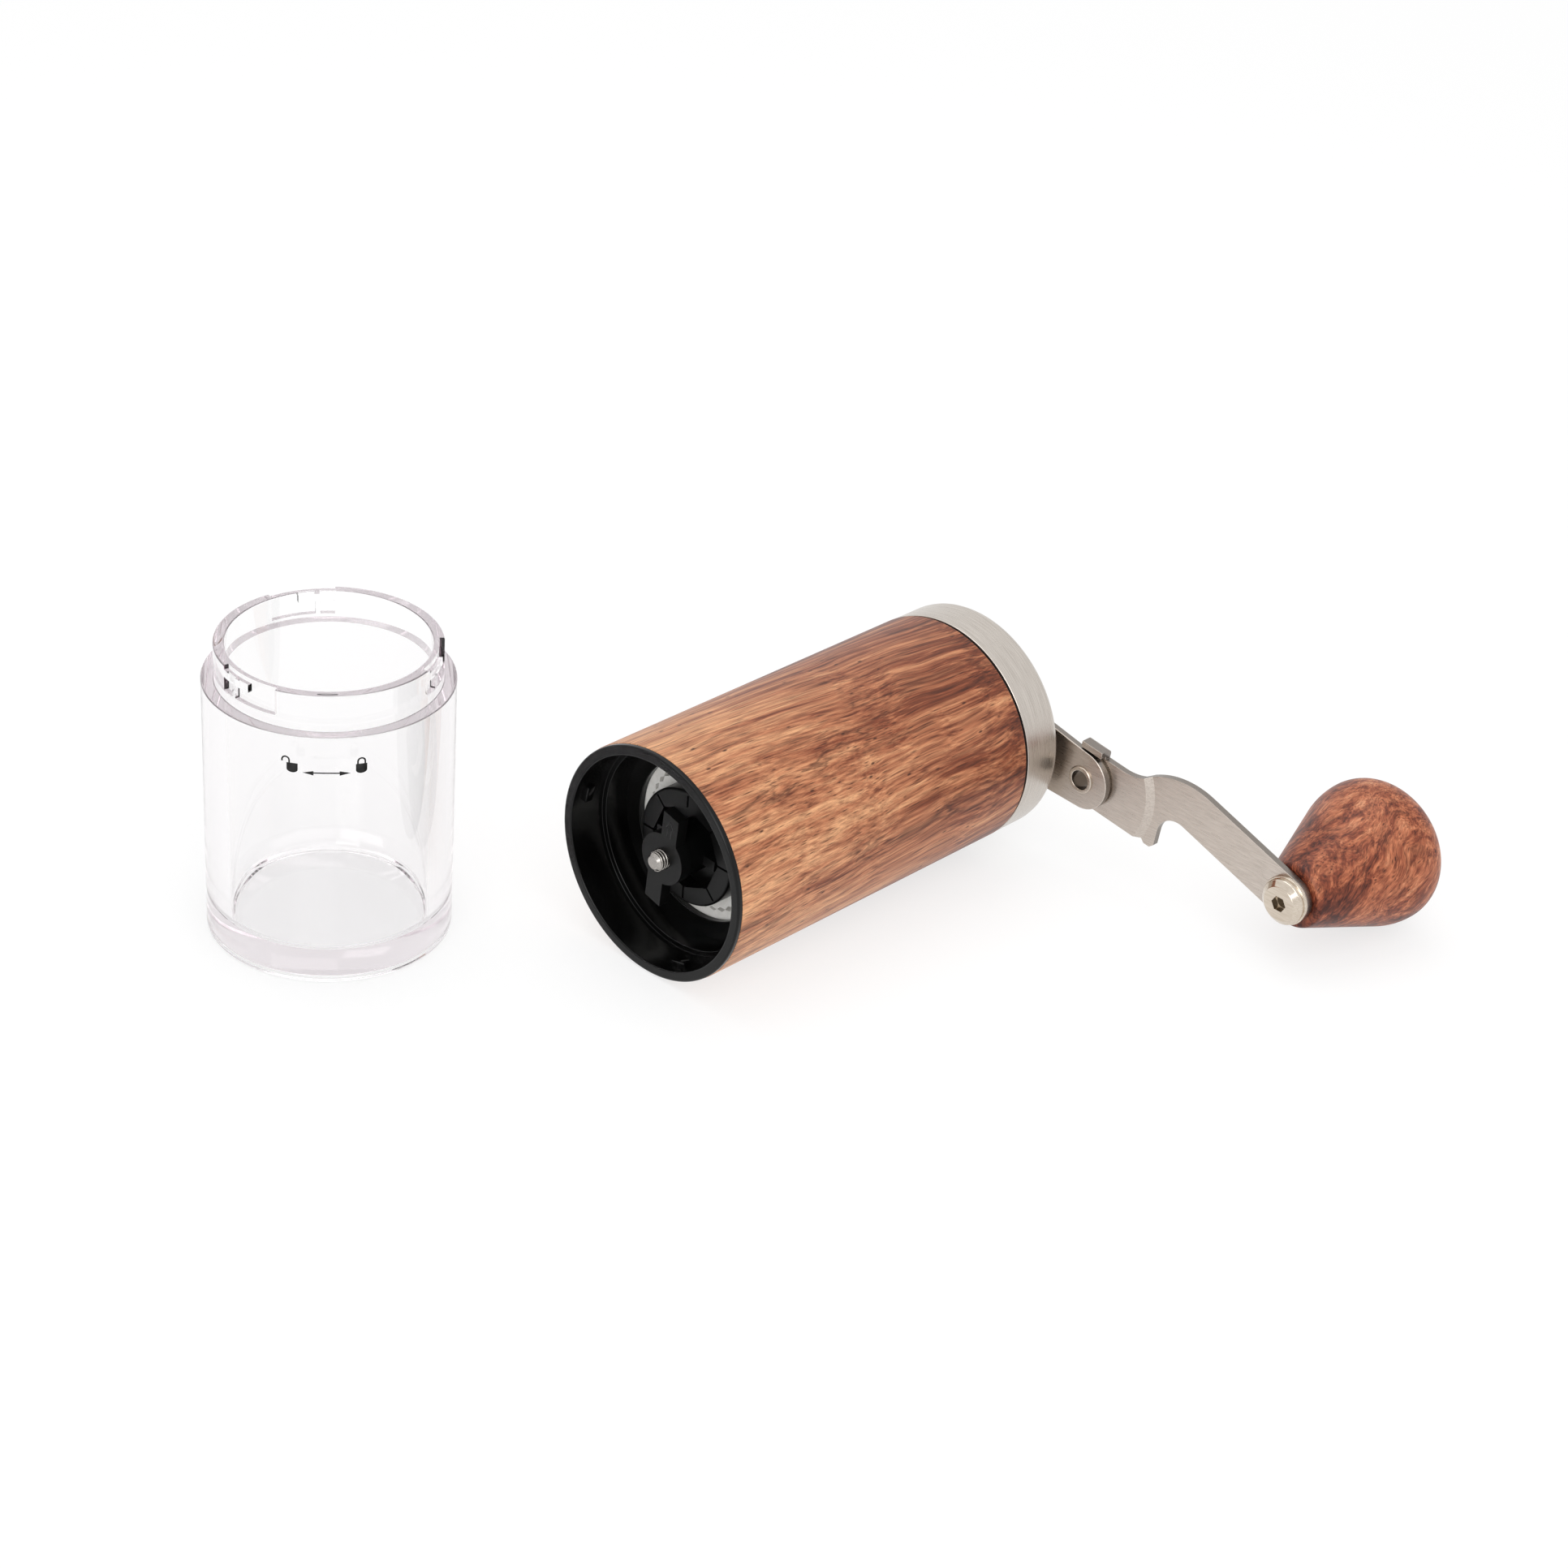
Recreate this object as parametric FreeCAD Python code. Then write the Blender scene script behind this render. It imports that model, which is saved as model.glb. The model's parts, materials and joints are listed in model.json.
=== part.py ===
# Hand coffee grinder: a wood-look body with a conical ceramic burr set, a steel lid, a folding
# crank with a teardrop knob, and a clear jar on a three-lug bayonet.
#
# The grinder lies on its side on a table, with its crank unfolded, beside its jar, which stands
# upright. Every piece of the grinder is drawn upright, mouth down at z = 0 and lid up, and is laid
# down at the end. The jar's foot is the origin, the table is z = 0 and the lid points along +X.
# Sizes are in millimetres and angles in degrees.
import FreeCAD, Part
import math
import os

Vector = FreeCAD.Vector
AXIS = Vector(0, 0, 1)
CENTRE = Vector(0, 0, 0)

# Driving sizes
BODY_RADIUS = 26.0
BODY_LENGTH = 88.4
LID_HEIGHT = 10.5
BURR_INSET = 7.0
SHAFT_RADIUS = 3.5
STUD_RADIUS = 2.0
SHEET = 1.6
RIVET_REACH = 31.0
KNOB_REACH = 55.4
KNOB_RADIUS = 16.3
JAR_SHOULDER = 58.4
BURR_RADIUS = BODY_RADIUS - BURR_INSET

# Fits
SEAT_GAP = 0.02
RUNNING_GAP = 0.05
MOVING_GAP = 0.3
CUT_MARGIN = 1.0

# Where the laid-down grinder is, from the jar's foot
MOUTH_X = 36.4
AXIS_Y = -58.2
KNOB_TABLE_GAP = 0.3

# Body walls, from the outside in
SLEEVE_WALL = 1.1
LINER_WALL = 1.25
LINER_RADIUS = BODY_RADIUS - SLEEVE_WALL - SEAT_GAP
LINER_BORE = LINER_RADIUS - LINER_WALL
TRIM_STEP = 0.1
RIM_HEIGHT = 1.2
RIM_CHAMFER = 0.3
LID_SEAM = 0.7
SLEEVE_TOP = BODY_LENGTH - LID_SEAM

# Mouth socket, its spigot in the liner and its bayonet lugs
SOCKET_DEPTH = 8.9
SPIGOT_RADIUS = LINER_BORE - SEAT_GAP
SPIGOT_WALL = 1.2
SPIGOT_DRAFT = 0.5
LUG_COUNT = 3
LUG_DEPTH = 2.9
LUG_HEIGHT = 2.0
LUG_PROUD = 1.0
LUG_SWEEP = 9.8
LUG_TURN = 13.0
LUG_ROOT = 0.4

# Burr carrier, with a lip that shows the ring burr through a round hole
CARRIER_RADIUS = LINER_BORE - SEAT_GAP
CARRIER_FLOOR = 14.4
CARRIER_LIP = 1.5
CARRIER_LIP_REACH = 1.1
CARRIER_HOLE = BURR_RADIUS - CARRIER_LIP_REACH
RING_SEAT = CARRIER_FLOOR + CARRIER_LIP
RING_HEIGHT = 18.0
RING_TOP = RING_SEAT + RING_HEIGHT
POCKET_COUNT = 6
POCKET_SWEEP = 48.0
POCKET_WALL = 1.3
POCKET_FLOOR = 2.0
KEY_COUNT = 3
KEY_SWEEP = 8.0
KEY_DEPTH = 0.8
KEY_START = 8.0
KEY_GAP_SWEEP = 1.0

# Grinding teeth: the ring narrows to a waist, and its fine exit teeth face those of the cone
EXIT_HEIGHT = 5.6
EXIT_WALL = 3.25
WAIST_WALL = 4.65
INLET_WALL = 2.6
EXIT_RADIUS = BURR_RADIUS - EXIT_WALL
WAIST_RADIUS = BURR_RADIUS - WAIST_WALL
INLET_RADIUS = BURR_RADIUS - INLET_WALL
RING_TEETH = 40
RING_TOOTH_DEPTH = 0.55
INLET_FLUTES = 8
INLET_FLUTE_DEPTH = 0.9
GRIND_GAP = 0.4
CONE_TEETH = 36
CONE_TOOTH_DEPTH = 0.6
CONE_BASE_DROP = 0.7
CONE_HEIGHT = 16.8
CONE_RIDGES = 6
CONE_RIDGE_DEPTH = 2.4
CONE_SHOULDER_STEP = 0.6
CONE_TOP_RADIUS = 7.6
CONE_TOP_RIDGE_DEPTH = 1.4
CONE_TWIST = 34.0
CONE_BASE = RING_SEAT - CONE_BASE_DROP
CONE_TOP = CONE_BASE + CONE_HEIGHT
WAIST_HEIGHT = RING_SEAT + EXIT_HEIGHT

# Click dial under the cone
DIAL_RADIUS = 13.1
DIAL_FACE = 10.3
DIAL_EDGE = 0.6
DIAL_FLOOR = 1.2
OCTAGON_RADIUS = 9.6
OCTAGON_SIDES = 8
SLIT_WIDTH = 0.5
SLIT_DEPTH = 0.6
SLIT_MARGIN = 0.6
DIAL_BOSS_RADIUS = 8.0
DIAL_BOSS_HEIGHT = 3.8

# Wing adjuster and the nut inside it
WING_FACE = 3.5
WING_THICKNESS = 2.8
WING_HUB_RADIUS = 5.85
WING_REACH = 11.6
WING_ARM_WIDTH = 4.4
WING_ARM_OFFSET = 1.2
WING_END_SKEW = 0.7
WING_TURN = 5.0
WING_BOSS_RADIUS = 5.5
WING_NOSE_WIDTH = 2.4
NUT_FLATS = 7.0
NUT_HEIGHT = 3.2

# Drive shaft
FINER_TRAVEL = 0.7
STUD_TIP = 1.0
STUD_TIP_RADIUS = 1.45
STUD_TIP_CHAMFER = 0.6
STUD_TOP = CONE_BASE - DIAL_FLOOR + FINER_TRAVEL + MOVING_GAP
SQUARE_SIDE = 4.9
SQUARE_TOP = CONE_TOP + FINER_TRAVEL + MOVING_GAP
SPRING_SPACE = 9.4
COLLAR_HEIGHT = 1.2
COLLAR_RADIUS = 5.2
WASHER_THICKNESS = 0.6
HEX_FLATS = 5.4
HEX_LENGTH = 7.2
CLIP_THICKNESS = 0.6
CLIP_GROOVE = 0.5
CLIP_RADIUS = 5.2
CLIP_OPENING = 70.0

# Spring between the cone and the shaft's collar
WIRE_RADIUS = 0.45
SPRING_RADIUS = 5.4
SPRING_TURNS = 5
POINTS_PER_TURN = 48
SPRING_WASHER_RADIUS = 6.8
SPRING_BOTTOM = CONE_TOP + WASHER_THICKNESS
COLLAR_BOTTOM = SPRING_BOTTOM + SPRING_SPACE

# Lid
LID_STEP = 0.1
LID_RADIUS = BODY_RADIUS - LID_STEP
LID_TOP = BODY_LENGTH + LID_HEIGHT
LID_SHEET = 0.7
LID_EDGE = 2.0
LID_HOLE = 6.95
LID_SEAM_STEP = 0.5
PLUG_LENGTH = 5.2
PLUG_GAP = 0.3
PLUG_WALL = 2.7
SEAL_RADIUS = 0.75
SEAL_GAP = 0.1
SEAL_DROP = 2.6
INSERT_ROOF = 1.6
INSERT_BORE_GAP = 0.4
INSERT_BORE = SHAFT_RADIUS + INSERT_BORE_GAP
INSERT_TUBE_WALL = 2.1
INSERT_TUBE_LENGTH = 8.2

# Bridges that hold the shaft's bushes
BUSH_WALL = 1.9
BUSH_FLANGE = 1.0
BUSH_FLANGE_STEP = 1.3
BUSH_LENGTH = 8.6
LOWER_BUSH_BASE = COLLAR_BOTTOM + COLLAR_HEIGHT + WASHER_THICKNESS + 2 * RUNNING_GAP
LOWER_BUSH_TOP = LOWER_BUSH_BASE + BUSH_LENGTH
HUB_WALL = 1.7
SPOKE_COUNT = 3
SPOKE_WIDTH = 4.0
SPOKE_TURN = 30.0
BRIDGE_RING_HEIGHT = 3.0
BRIDGE_BORE_STEP = 0.2
BRIDGE_RING_BORE = INLET_RADIUS + BRIDGE_BORE_STEP
SEAT_RIB = 1.0
SEAT_RIB_HEIGHT = 1.4
SEAT_RIB_SLOPE = 1.2
LID_CLEARANCE = 5.5
TOP_BRIDGE_BASE = SLEEVE_TOP - PLUG_LENGTH - LID_CLEARANCE - BRIDGE_RING_HEIGHT
TOP_BRIDGE_RING = 2.0
TOP_HUB_DROP = 2.0
UPPER_BUSH_BASE = TOP_BRIDGE_BASE - TOP_HUB_DROP

# Crank: a bracket on a hexagon socket, a hinge rivet and a joggled arm
HUB_GAP = 0.4
HUB_FLANGE = 1.8
HUB_FLANGE_RADIUS = 7.5
BOSS_RADIUS = 4.6
BOSS_RISE = 4.5
BOSS_EDGE = 0.8
BOSS_ROOF = 0.9
BRACKET_HUB_RADIUS = 9.5
BRACKET_END_RADIUS = 7.0
BRACKET_BASE = LID_TOP + HUB_GAP + HUB_FLANGE
BRACKET_TOP = BRACKET_BASE + SHEET
RIVET_RADIUS = 2.7
RIVET_BORE = 2.2
RIVET_FLANGE_RADIUS = 3.2
RIVET_FLANGE = 0.5
HINGE_WASHER = 0.4
HINGE_WASHER_RADIUS = 6.2
ARM_BASE = BRACKET_TOP + HINGE_WASHER + RUNNING_GAP
ARM_HALF_WIDTH = 6.8
JOGGLE_RISE = 1.3
JOGGLE_RADIUS = 16.6
JOGGLE_RUN = 1.4
HUMP_X = 26.9
HUMP_RADIUS = 20.0
SHOULDER_RADIUS = 12.0
STRAP_HALF_WIDTH = 5.4
STRAP_FALL = 11.3
KNOB_OFFSET = 1.8
NOTCH_RADIUS = 5.0
NOTCH_X = 25.0
LIP_DROP = 0.9
LIP_LENGTH = 2.6
LIP_CORNER = 1.0
TAB_LEFT = -2.2
TAB_RIGHT = 3.6
TAB_GAP = 0.5
TAB_INNER = BRACKET_END_RADIUS + TAB_GAP
TAB_THICKNESS = 1.5
TAB_BEND = 1.2

# Knob and the screw that it turns with
ARM_TOP = ARM_BASE + JOGGLE_RISE + SHEET
KNOB_BASE = ARM_TOP + MOVING_GAP
KNOB_NECK_RADIUS = 7.2
KNOB_NECK_EDGE = 1.0
KNOB_BELLY = 28.2
KNOB_DOME = 9.85
KNOB_SHOULDER = 7.0
SCREW_SHANK = 3.0
SCREW_THREAD = 2.45
SCREW_REACH = 15.0
SCREW_HEAD = 5.5
SCREW_RIM = 0.9
SCREW_STEP = 0.35
SCREW_HEIGHT = 2.9
SCREW_FACE = 3.9
SOCKET_FLATS = 3.2
SOCKET_SUNK = 1.7
INSERT_RADIUS = 4.2
INSERT_LENGTH = 16.0

# Jar
JAR_DRAFT = 0.3
JAR_FOOT_BEVEL = 0.8
JAR_FLOOR = 5.6
JAR_FLOOR_FILLET = 2.0
JAR_BORE_DRAFT = 0.5
NECK_GAP = 0.23
NECK_RADIUS = LINER_BORE - NECK_GAP
NECK_WALL = 2.3
NECK_HEIGHT = 8.0
NECK_EDGE = 0.3
RECESS_DEPTH = 1.1
RECESS_SWEEP = 36.0
RECESS_CENTRE = -174.7
RECESS_FLOOR = 2.4
TAB_SWEEP = 20.0
TAB_BOTTOM = 5.3
TAB_TOP = 7.0
POST_START = 8.0
POST_SWEEP = 2.5


def tube(outer, inner, bottom, top):
    """A round tube on the z axis."""
    height = top - bottom
    base = Vector(0, 0, bottom)
    return Part.makeCylinder(outer, height, base).cut(Part.makeCylinder(inner, height, base))


def disc(radius, bottom, top):
    """A plain cylinder on the z axis."""
    return Part.makeCylinder(radius, top - bottom, Vector(0, 0, bottom))


def section(points):
    """A flat face in the x z plane from (radius, height) corners."""
    corners = [Vector(radius, 0, height) for radius, height in points]
    return Part.Face(Part.makePolygon(corners + corners[:1]))


def turned(points, start=0.0, sweep=360.0):
    """A section turned about the z axis."""
    solid = section(points).revolve(CENTRE, AXIS, sweep)
    return solid.rotate(CENTRE, AXIS, start) if start else solid


def sector(inner, outer, bottom, top, start, sweep):
    """Part of a ring of square section, between two angles."""
    return turned([(inner, bottom), (outer, bottom), (outer, top), (inner, top)], start, sweep)


def prism(points, bottom, top):
    """A straight-sided block from (x, y) corners."""
    corners = [Vector(x, y, bottom) for x, y in points]
    return Part.Face(Part.makePolygon(corners + corners[:1])).extrude(Vector(0, 0, top - bottom))


def polygon_points(sides, radius, turn=0.0):
    """The (x, y) corners of a regular polygon."""
    angles = [math.radians(turn + 360.0 * i / sides) for i in range(sides)]
    return [(radius * math.cos(angle), radius * math.sin(angle)) for angle in angles]


def hexagon(flats, bottom, top):
    """A hexagonal block given its size across flats."""
    return prism(polygon_points(6, flats / math.sqrt(3.0)), bottom, top)


def square(side, bottom, top):
    """A square block on the z axis."""
    return prism(polygon_points(4, side / math.sqrt(2.0), 45.0), bottom, top)


def spun_copies(shape, count):
    """Copies of a shape spread evenly round the z axis."""
    return [shape.rotated(CENTRE, AXIS, 360.0 * i / count) for i in range(count)]


def edges_at(shape, height, radius):
    """The round edges of a shape at one height and radius."""
    found = []
    for edge in shape.Edges:
        box = edge.BoundBox
        level = abs(box.ZMax - height) < 1e-3 and abs(box.ZMin - height) < 1e-3
        if level and abs(box.XMax - radius) < 1e-3:
            found.append(edge)
    return found


def toothed_wire(count, tip, root, height, turn=0.0):
    """A closed saw-tooth outline: count teeth between a tip and a root radius."""
    points = []
    for i in range(count):
        for part, radius in ((0.0, tip), (0.5, root)):
            angle = math.radians(turn + 360.0 * (i + part) / count)
            points.append(Vector(radius * math.cos(angle), radius * math.sin(angle), height))
    return Part.makePolygon(points + points[:1])


def toothed_cone(count, low, high, twist=0.0):
    """A toothed frustum between two (tip, root, height) outlines."""
    lower = toothed_wire(count, *low)
    upper = toothed_wire(count, *high, twist)
    return Part.makeLoft([lower, upper], True, True)


def ring_tip(height):
    """Radius of the ring burr's exit teeth at a height."""
    slope = (EXIT_RADIUS - WAIST_RADIUS) / EXIT_HEIGHT
    return EXIT_RADIUS - slope * (height - RING_SEAT)


# Body

def wood_sleeve():
    return tube(BODY_RADIUS, BODY_RADIUS - SLEEVE_WALL, RIM_HEIGHT, SLEEVE_TOP)


def mouth_ring():
    rim = BODY_RADIUS - TRIM_STEP
    spigot_bore = SPIGOT_RADIUS - SPIGOT_WALL
    ring = turned([
        (LINER_BORE, RIM_CHAMFER),
        (LINER_BORE + RIM_CHAMFER, 0),
        (rim - RIM_CHAMFER, 0),
        (rim, RIM_CHAMFER),
        (rim, RIM_HEIGHT),
        (LINER_RADIUS, RIM_HEIGHT),
        (LINER_RADIUS, SOCKET_DEPTH),
        (SPIGOT_RADIUS, SOCKET_DEPTH),
        (SPIGOT_RADIUS, CARRIER_FLOOR),
        (spigot_bore - SPIGOT_DRAFT, CARRIER_FLOOR),
        (spigot_bore, SOCKET_DEPTH),
        (LINER_BORE, SOCKET_DEPTH),
    ])
    lug_tip = LINER_BORE - LUG_PROUD
    lug = sector(lug_tip, LINER_BORE + LUG_ROOT, LUG_DEPTH, LUG_DEPTH + LUG_HEIGHT,
                 LUG_TURN - LUG_SWEEP / 2, LUG_SWEEP)
    return ring.fuse(spun_copies(lug, LUG_COUNT)).removeSplitter()


def hopper_tube():
    rib = LINER_BORE - SEAT_RIB
    lower = RING_TOP + BRIDGE_RING_HEIGHT
    upper = TOP_BRIDGE_BASE
    return turned([
        (LINER_BORE, SOCKET_DEPTH),
        (LINER_RADIUS, SOCKET_DEPTH),
        (LINER_RADIUS, SLEEVE_TOP),
        (LINER_BORE, SLEEVE_TOP),
        (LINER_BORE, upper),
        (rib, upper),
        (rib, upper - SEAT_RIB_HEIGHT),
        (LINER_BORE, upper - SEAT_RIB_HEIGHT - SEAT_RIB_SLOPE),
        (LINER_BORE, lower + SEAT_RIB_HEIGHT + SEAT_RIB_SLOPE),
        (rib, lower + SEAT_RIB_HEIGHT),
        (rib, lower),
        (LINER_BORE, lower),
    ])


def burr_key(inner, outer, sweep):
    """One of the blocks that keep the ring burr from turning in its carrier."""
    return sector(inner, outer, RING_SEAT + KEY_START, RING_TOP, -sweep / 2, sweep)


def burr_carrier():
    pocket_bore = BURR_RADIUS + SEAT_GAP
    carrier = turned([
        (CARRIER_HOLE, CARRIER_FLOOR),
        (CARRIER_RADIUS, CARRIER_FLOOR),
        (CARRIER_RADIUS, RING_TOP),
        (pocket_bore, RING_TOP),
        (pocket_bore, RING_SEAT),
        (CARRIER_HOLE, RING_SEAT),
    ])
    pocket = sector(pocket_bore + POCKET_WALL, CARRIER_RADIUS - POCKET_WALL,
                    RING_SEAT + POCKET_FLOOR, RING_TOP, 0, POCKET_SWEEP)
    key = burr_key(BURR_RADIUS - KEY_DEPTH + SEAT_GAP, pocket_bore + POCKET_WALL / 2, KEY_SWEEP)
    carrier = carrier.cut(spun_copies(pocket, POCKET_COUNT))
    return carrier.fuse(spun_copies(key, KEY_COUNT)).removeSplitter()


def outer_burr():
    ring = disc(BURR_RADIUS, RING_SEAT, RING_TOP)
    exit_teeth = toothed_cone(
        RING_TEETH,
        (EXIT_RADIUS, EXIT_RADIUS + RING_TOOTH_DEPTH, RING_SEAT),
        (WAIST_RADIUS, WAIST_RADIUS + RING_TOOTH_DEPTH, WAIST_HEIGHT))
    inlet = toothed_cone(
        INLET_FLUTES,
        (WAIST_RADIUS, WAIST_RADIUS + INLET_FLUTE_DEPTH, WAIST_HEIGHT),
        (INLET_RADIUS, INLET_RADIUS + INLET_FLUTE_DEPTH, RING_TOP))
    key_slot = burr_key(BURR_RADIUS - KEY_DEPTH, BURR_RADIUS + CUT_MARGIN, KEY_SWEEP + KEY_GAP_SWEEP)
    return ring.cut([exit_teeth, inlet] + spun_copies(key_slot, KEY_COUNT))


def spoke(points):
    """A spoke of a bridge from its (radius, height) side view."""
    side = section(points).extrude(Vector(0, SPOKE_WIDTH, 0))
    side.translate(Vector(0, -SPOKE_WIDTH / 2, 0))
    return side.rotate(CENTRE, AXIS, SPOKE_TURN)


def burr_bridge():
    hub_radius = SHAFT_RADIUS + RUNNING_GAP + BUSH_WALL + HUB_WALL
    hub_base = LOWER_BUSH_BASE + BUSH_FLANGE
    ring_top = RING_TOP + BRIDGE_RING_HEIGHT
    rib = LINER_BORE - SEAT_RIB
    ring = tube(CARRIER_RADIUS, BRIDGE_RING_BORE, RING_TOP, ring_top)
    hub = disc(hub_radius, hub_base, LOWER_BUSH_TOP)
    arm = spoke([
        (hub_radius - HUB_WALL / 2, hub_base),
        (hub_radius - HUB_WALL / 2, LOWER_BUSH_TOP),
        (hub_radius + HUB_WALL, LOWER_BUSH_TOP - HUB_WALL),
        (rib - MOVING_GAP, ring_top),
        (rib - MOVING_GAP, ring_top - BRIDGE_RING_HEIGHT / 2),
        (BRIDGE_RING_BORE + MOVING_GAP, ring_top - BRIDGE_RING_HEIGHT / 2),
        (hub_radius, hub_base),
    ])
    bush_bore = disc(SHAFT_RADIUS + RUNNING_GAP + BUSH_WALL + SEAT_GAP, hub_base, LOWER_BUSH_TOP)
    return ring.fuse([hub] + spun_copies(arm, SPOKE_COUNT)).cut(bush_bore).removeSplitter()


def top_bridge():
    hub_radius = SHAFT_RADIUS + RUNNING_GAP + BUSH_WALL + HUB_WALL
    hub_base = UPPER_BUSH_BASE
    hub_top = UPPER_BUSH_BASE + BUSH_LENGTH - BUSH_FLANGE
    ring_top = TOP_BRIDGE_BASE + BRIDGE_RING_HEIGHT
    ring_bore = CARRIER_RADIUS - TOP_BRIDGE_RING
    ring = tube(CARRIER_RADIUS, ring_bore, TOP_BRIDGE_BASE, ring_top)
    hub = disc(hub_radius, hub_base, hub_top)
    arm = spoke([
        (hub_radius - HUB_WALL / 2, hub_base),
        (hub_radius - HUB_WALL / 2, hub_top),
        (ring_bore + TOP_BRIDGE_RING / 2, ring_top),
        (ring_bore + TOP_BRIDGE_RING / 2, TOP_BRIDGE_BASE),
        (ring_bore - TOP_BRIDGE_RING, TOP_BRIDGE_BASE),
    ])
    bush_bore = disc(SHAFT_RADIUS + RUNNING_GAP + BUSH_WALL + SEAT_GAP, hub_base, hub_top)
    return ring.fuse([hub] + spun_copies(arm, SPOKE_COUNT)).cut(bush_bore).removeSplitter()


def bush(base, flange_base):
    """A flanged sleeve bearing on the shaft."""
    bore = SHAFT_RADIUS + RUNNING_GAP
    wall = tube(bore + BUSH_WALL, bore, base, base + BUSH_LENGTH)
    flange = tube(bore + BUSH_WALL + BUSH_FLANGE_STEP, bore, flange_base, flange_base + BUSH_FLANGE)
    return wall.fuse(flange).removeSplitter()


def lower_bush():
    return bush(LOWER_BUSH_BASE, LOWER_BUSH_BASE)


def upper_bush():
    return bush(UPPER_BUSH_BASE, UPPER_BUSH_BASE + BUSH_LENGTH - BUSH_FLANGE)


# Drive train

def clip_base():
    """Height of the clip that rests on the lower bush."""
    return LOWER_BUSH_TOP + 2 * RUNNING_GAP


def drive_shaft():
    hex_base = LID_TOP - HUB_GAP
    stud = turned([
        (0, STUD_TIP),
        (STUD_TIP_RADIUS, STUD_TIP),
        (STUD_RADIUS, STUD_TIP + STUD_TIP_CHAMFER),
        (STUD_RADIUS, STUD_TOP),
        (0, STUD_TOP),
    ])
    rod = disc(SHAFT_RADIUS, SQUARE_TOP, hex_base)
    collar = disc(COLLAR_RADIUS, COLLAR_BOTTOM, COLLAR_BOTTOM + COLLAR_HEIGHT)
    groove = tube(SHAFT_RADIUS + CUT_MARGIN, SHAFT_RADIUS - CLIP_GROOVE, clip_base(),
                  clip_base() + CLIP_THICKNESS + RUNNING_GAP)
    drive_end = hexagon(HEX_FLATS, hex_base, hex_base + HEX_LENGTH)
    drive_end.rotate(CENTRE, AXIS, crank_turn())
    square_end = square(SQUARE_SIDE, STUD_TOP, SQUARE_TOP)
    return stud.fuse([square_end, rod, collar, drive_end]).cut(groove).removeSplitter()


def thrust_washer():
    base = COLLAR_BOTTOM + COLLAR_HEIGHT + RUNNING_GAP
    return tube(COLLAR_RADIUS, SHAFT_RADIUS + RUNNING_GAP, base, base + WASHER_THICKNESS)


def shaft_circlip():
    inner = SHAFT_RADIUS - CLIP_GROOVE + SEAT_GAP
    return sector(inner, CLIP_RADIUS, clip_base() + SEAT_GAP, clip_base() + CLIP_THICKNESS,
                  CLIP_OPENING / 2, 360.0 - CLIP_OPENING)


def inner_burr():
    shoulder_tip = WAIST_RADIUS - GRIND_GAP
    base_tip = ring_tip(CONE_BASE) - GRIND_GAP
    exit_teeth = toothed_cone(
        CONE_TEETH,
        (base_tip, base_tip - CONE_TOOTH_DEPTH, CONE_BASE),
        (shoulder_tip, shoulder_tip - CONE_TOOTH_DEPTH, WAIST_HEIGHT))
    ridge_tip = shoulder_tip - CONE_TOOTH_DEPTH - CONE_SHOULDER_STEP
    ridges = toothed_cone(
        CONE_RIDGES,
        (ridge_tip, ridge_tip - CONE_RIDGE_DEPTH, WAIST_HEIGHT),
        (CONE_TOP_RADIUS, CONE_TOP_RADIUS - CONE_TOP_RIDGE_DEPTH, CONE_TOP),
        CONE_TWIST)
    cavity = disc(DIAL_BOSS_RADIUS + SEAT_GAP, CONE_BASE, CONE_BASE + DIAL_BOSS_HEIGHT + SEAT_GAP)
    bore = square(SQUARE_SIDE + 2 * RUNNING_GAP, CONE_BASE, CONE_TOP)
    return exit_teeth.fuse(ridges).cut([cavity, bore])


def burr_dial():
    recess_floor = CONE_BASE - DIAL_FLOOR
    plate = disc(DIAL_RADIUS, DIAL_FACE, CONE_BASE)
    plate = plate.makeFillet(DIAL_EDGE, edges_at(plate, DIAL_FACE, DIAL_RADIUS))
    boss = disc(DIAL_BOSS_RADIUS, CONE_BASE, CONE_BASE + DIAL_BOSS_HEIGHT)
    octagon = prism(polygon_points(OCTAGON_SIDES, OCTAGON_RADIUS), DIAL_FACE, recess_floor)
    slit = Part.makeBox(DIAL_RADIUS - SLIT_MARGIN - OCTAGON_RADIUS + SLIT_WIDTH, SLIT_WIDTH, SLIT_DEPTH,
                        Vector(OCTAGON_RADIUS - SLIT_WIDTH, -SLIT_WIDTH / 2, DIAL_FACE))
    bore = square(SQUARE_SIDE + 2 * RUNNING_GAP, recess_floor, CONE_BASE + DIAL_BOSS_HEIGHT)
    return plate.fuse(boss).cut([octagon, bore] + spun_copies(slit, OCTAGON_SIDES))


def spring_washer():
    inner = SHAFT_RADIUS + MOVING_GAP
    return tube(SPRING_WASHER_RADIUS, inner, CONE_TOP, CONE_TOP + WASHER_THICKNESS)


def arc_between(start, corner, end):
    """The arc that leaves start towards a corner and arrives at end from it."""
    chord = end.sub(start)
    weight = math.cos(chord.getAngle(corner.sub(start)))
    middle = start.add(end).add(corner.multiply(2 * weight)).multiply(1 / (2 + 2 * weight))
    return Part.Arc(start, middle, end).toShape()


def biarc(start, start_way, end, end_way):
    """Two tangent arcs between two points with given directions."""
    span = end.sub(start)
    ways = start_way.add(end_way)
    spread = 2 * (1 - start_way.dot(end_way))
    along = span.dot(ways)
    reach = (math.sqrt(along * along + spread * span.dot(span)) - along) / spread
    first = start.add(start_way * reach)
    second = end.sub(end_way * reach)
    joint = first.add(second) * 0.5
    return [arc_between(start, Vector(first), joint), arc_between(joint, Vector(second), end)]


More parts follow.
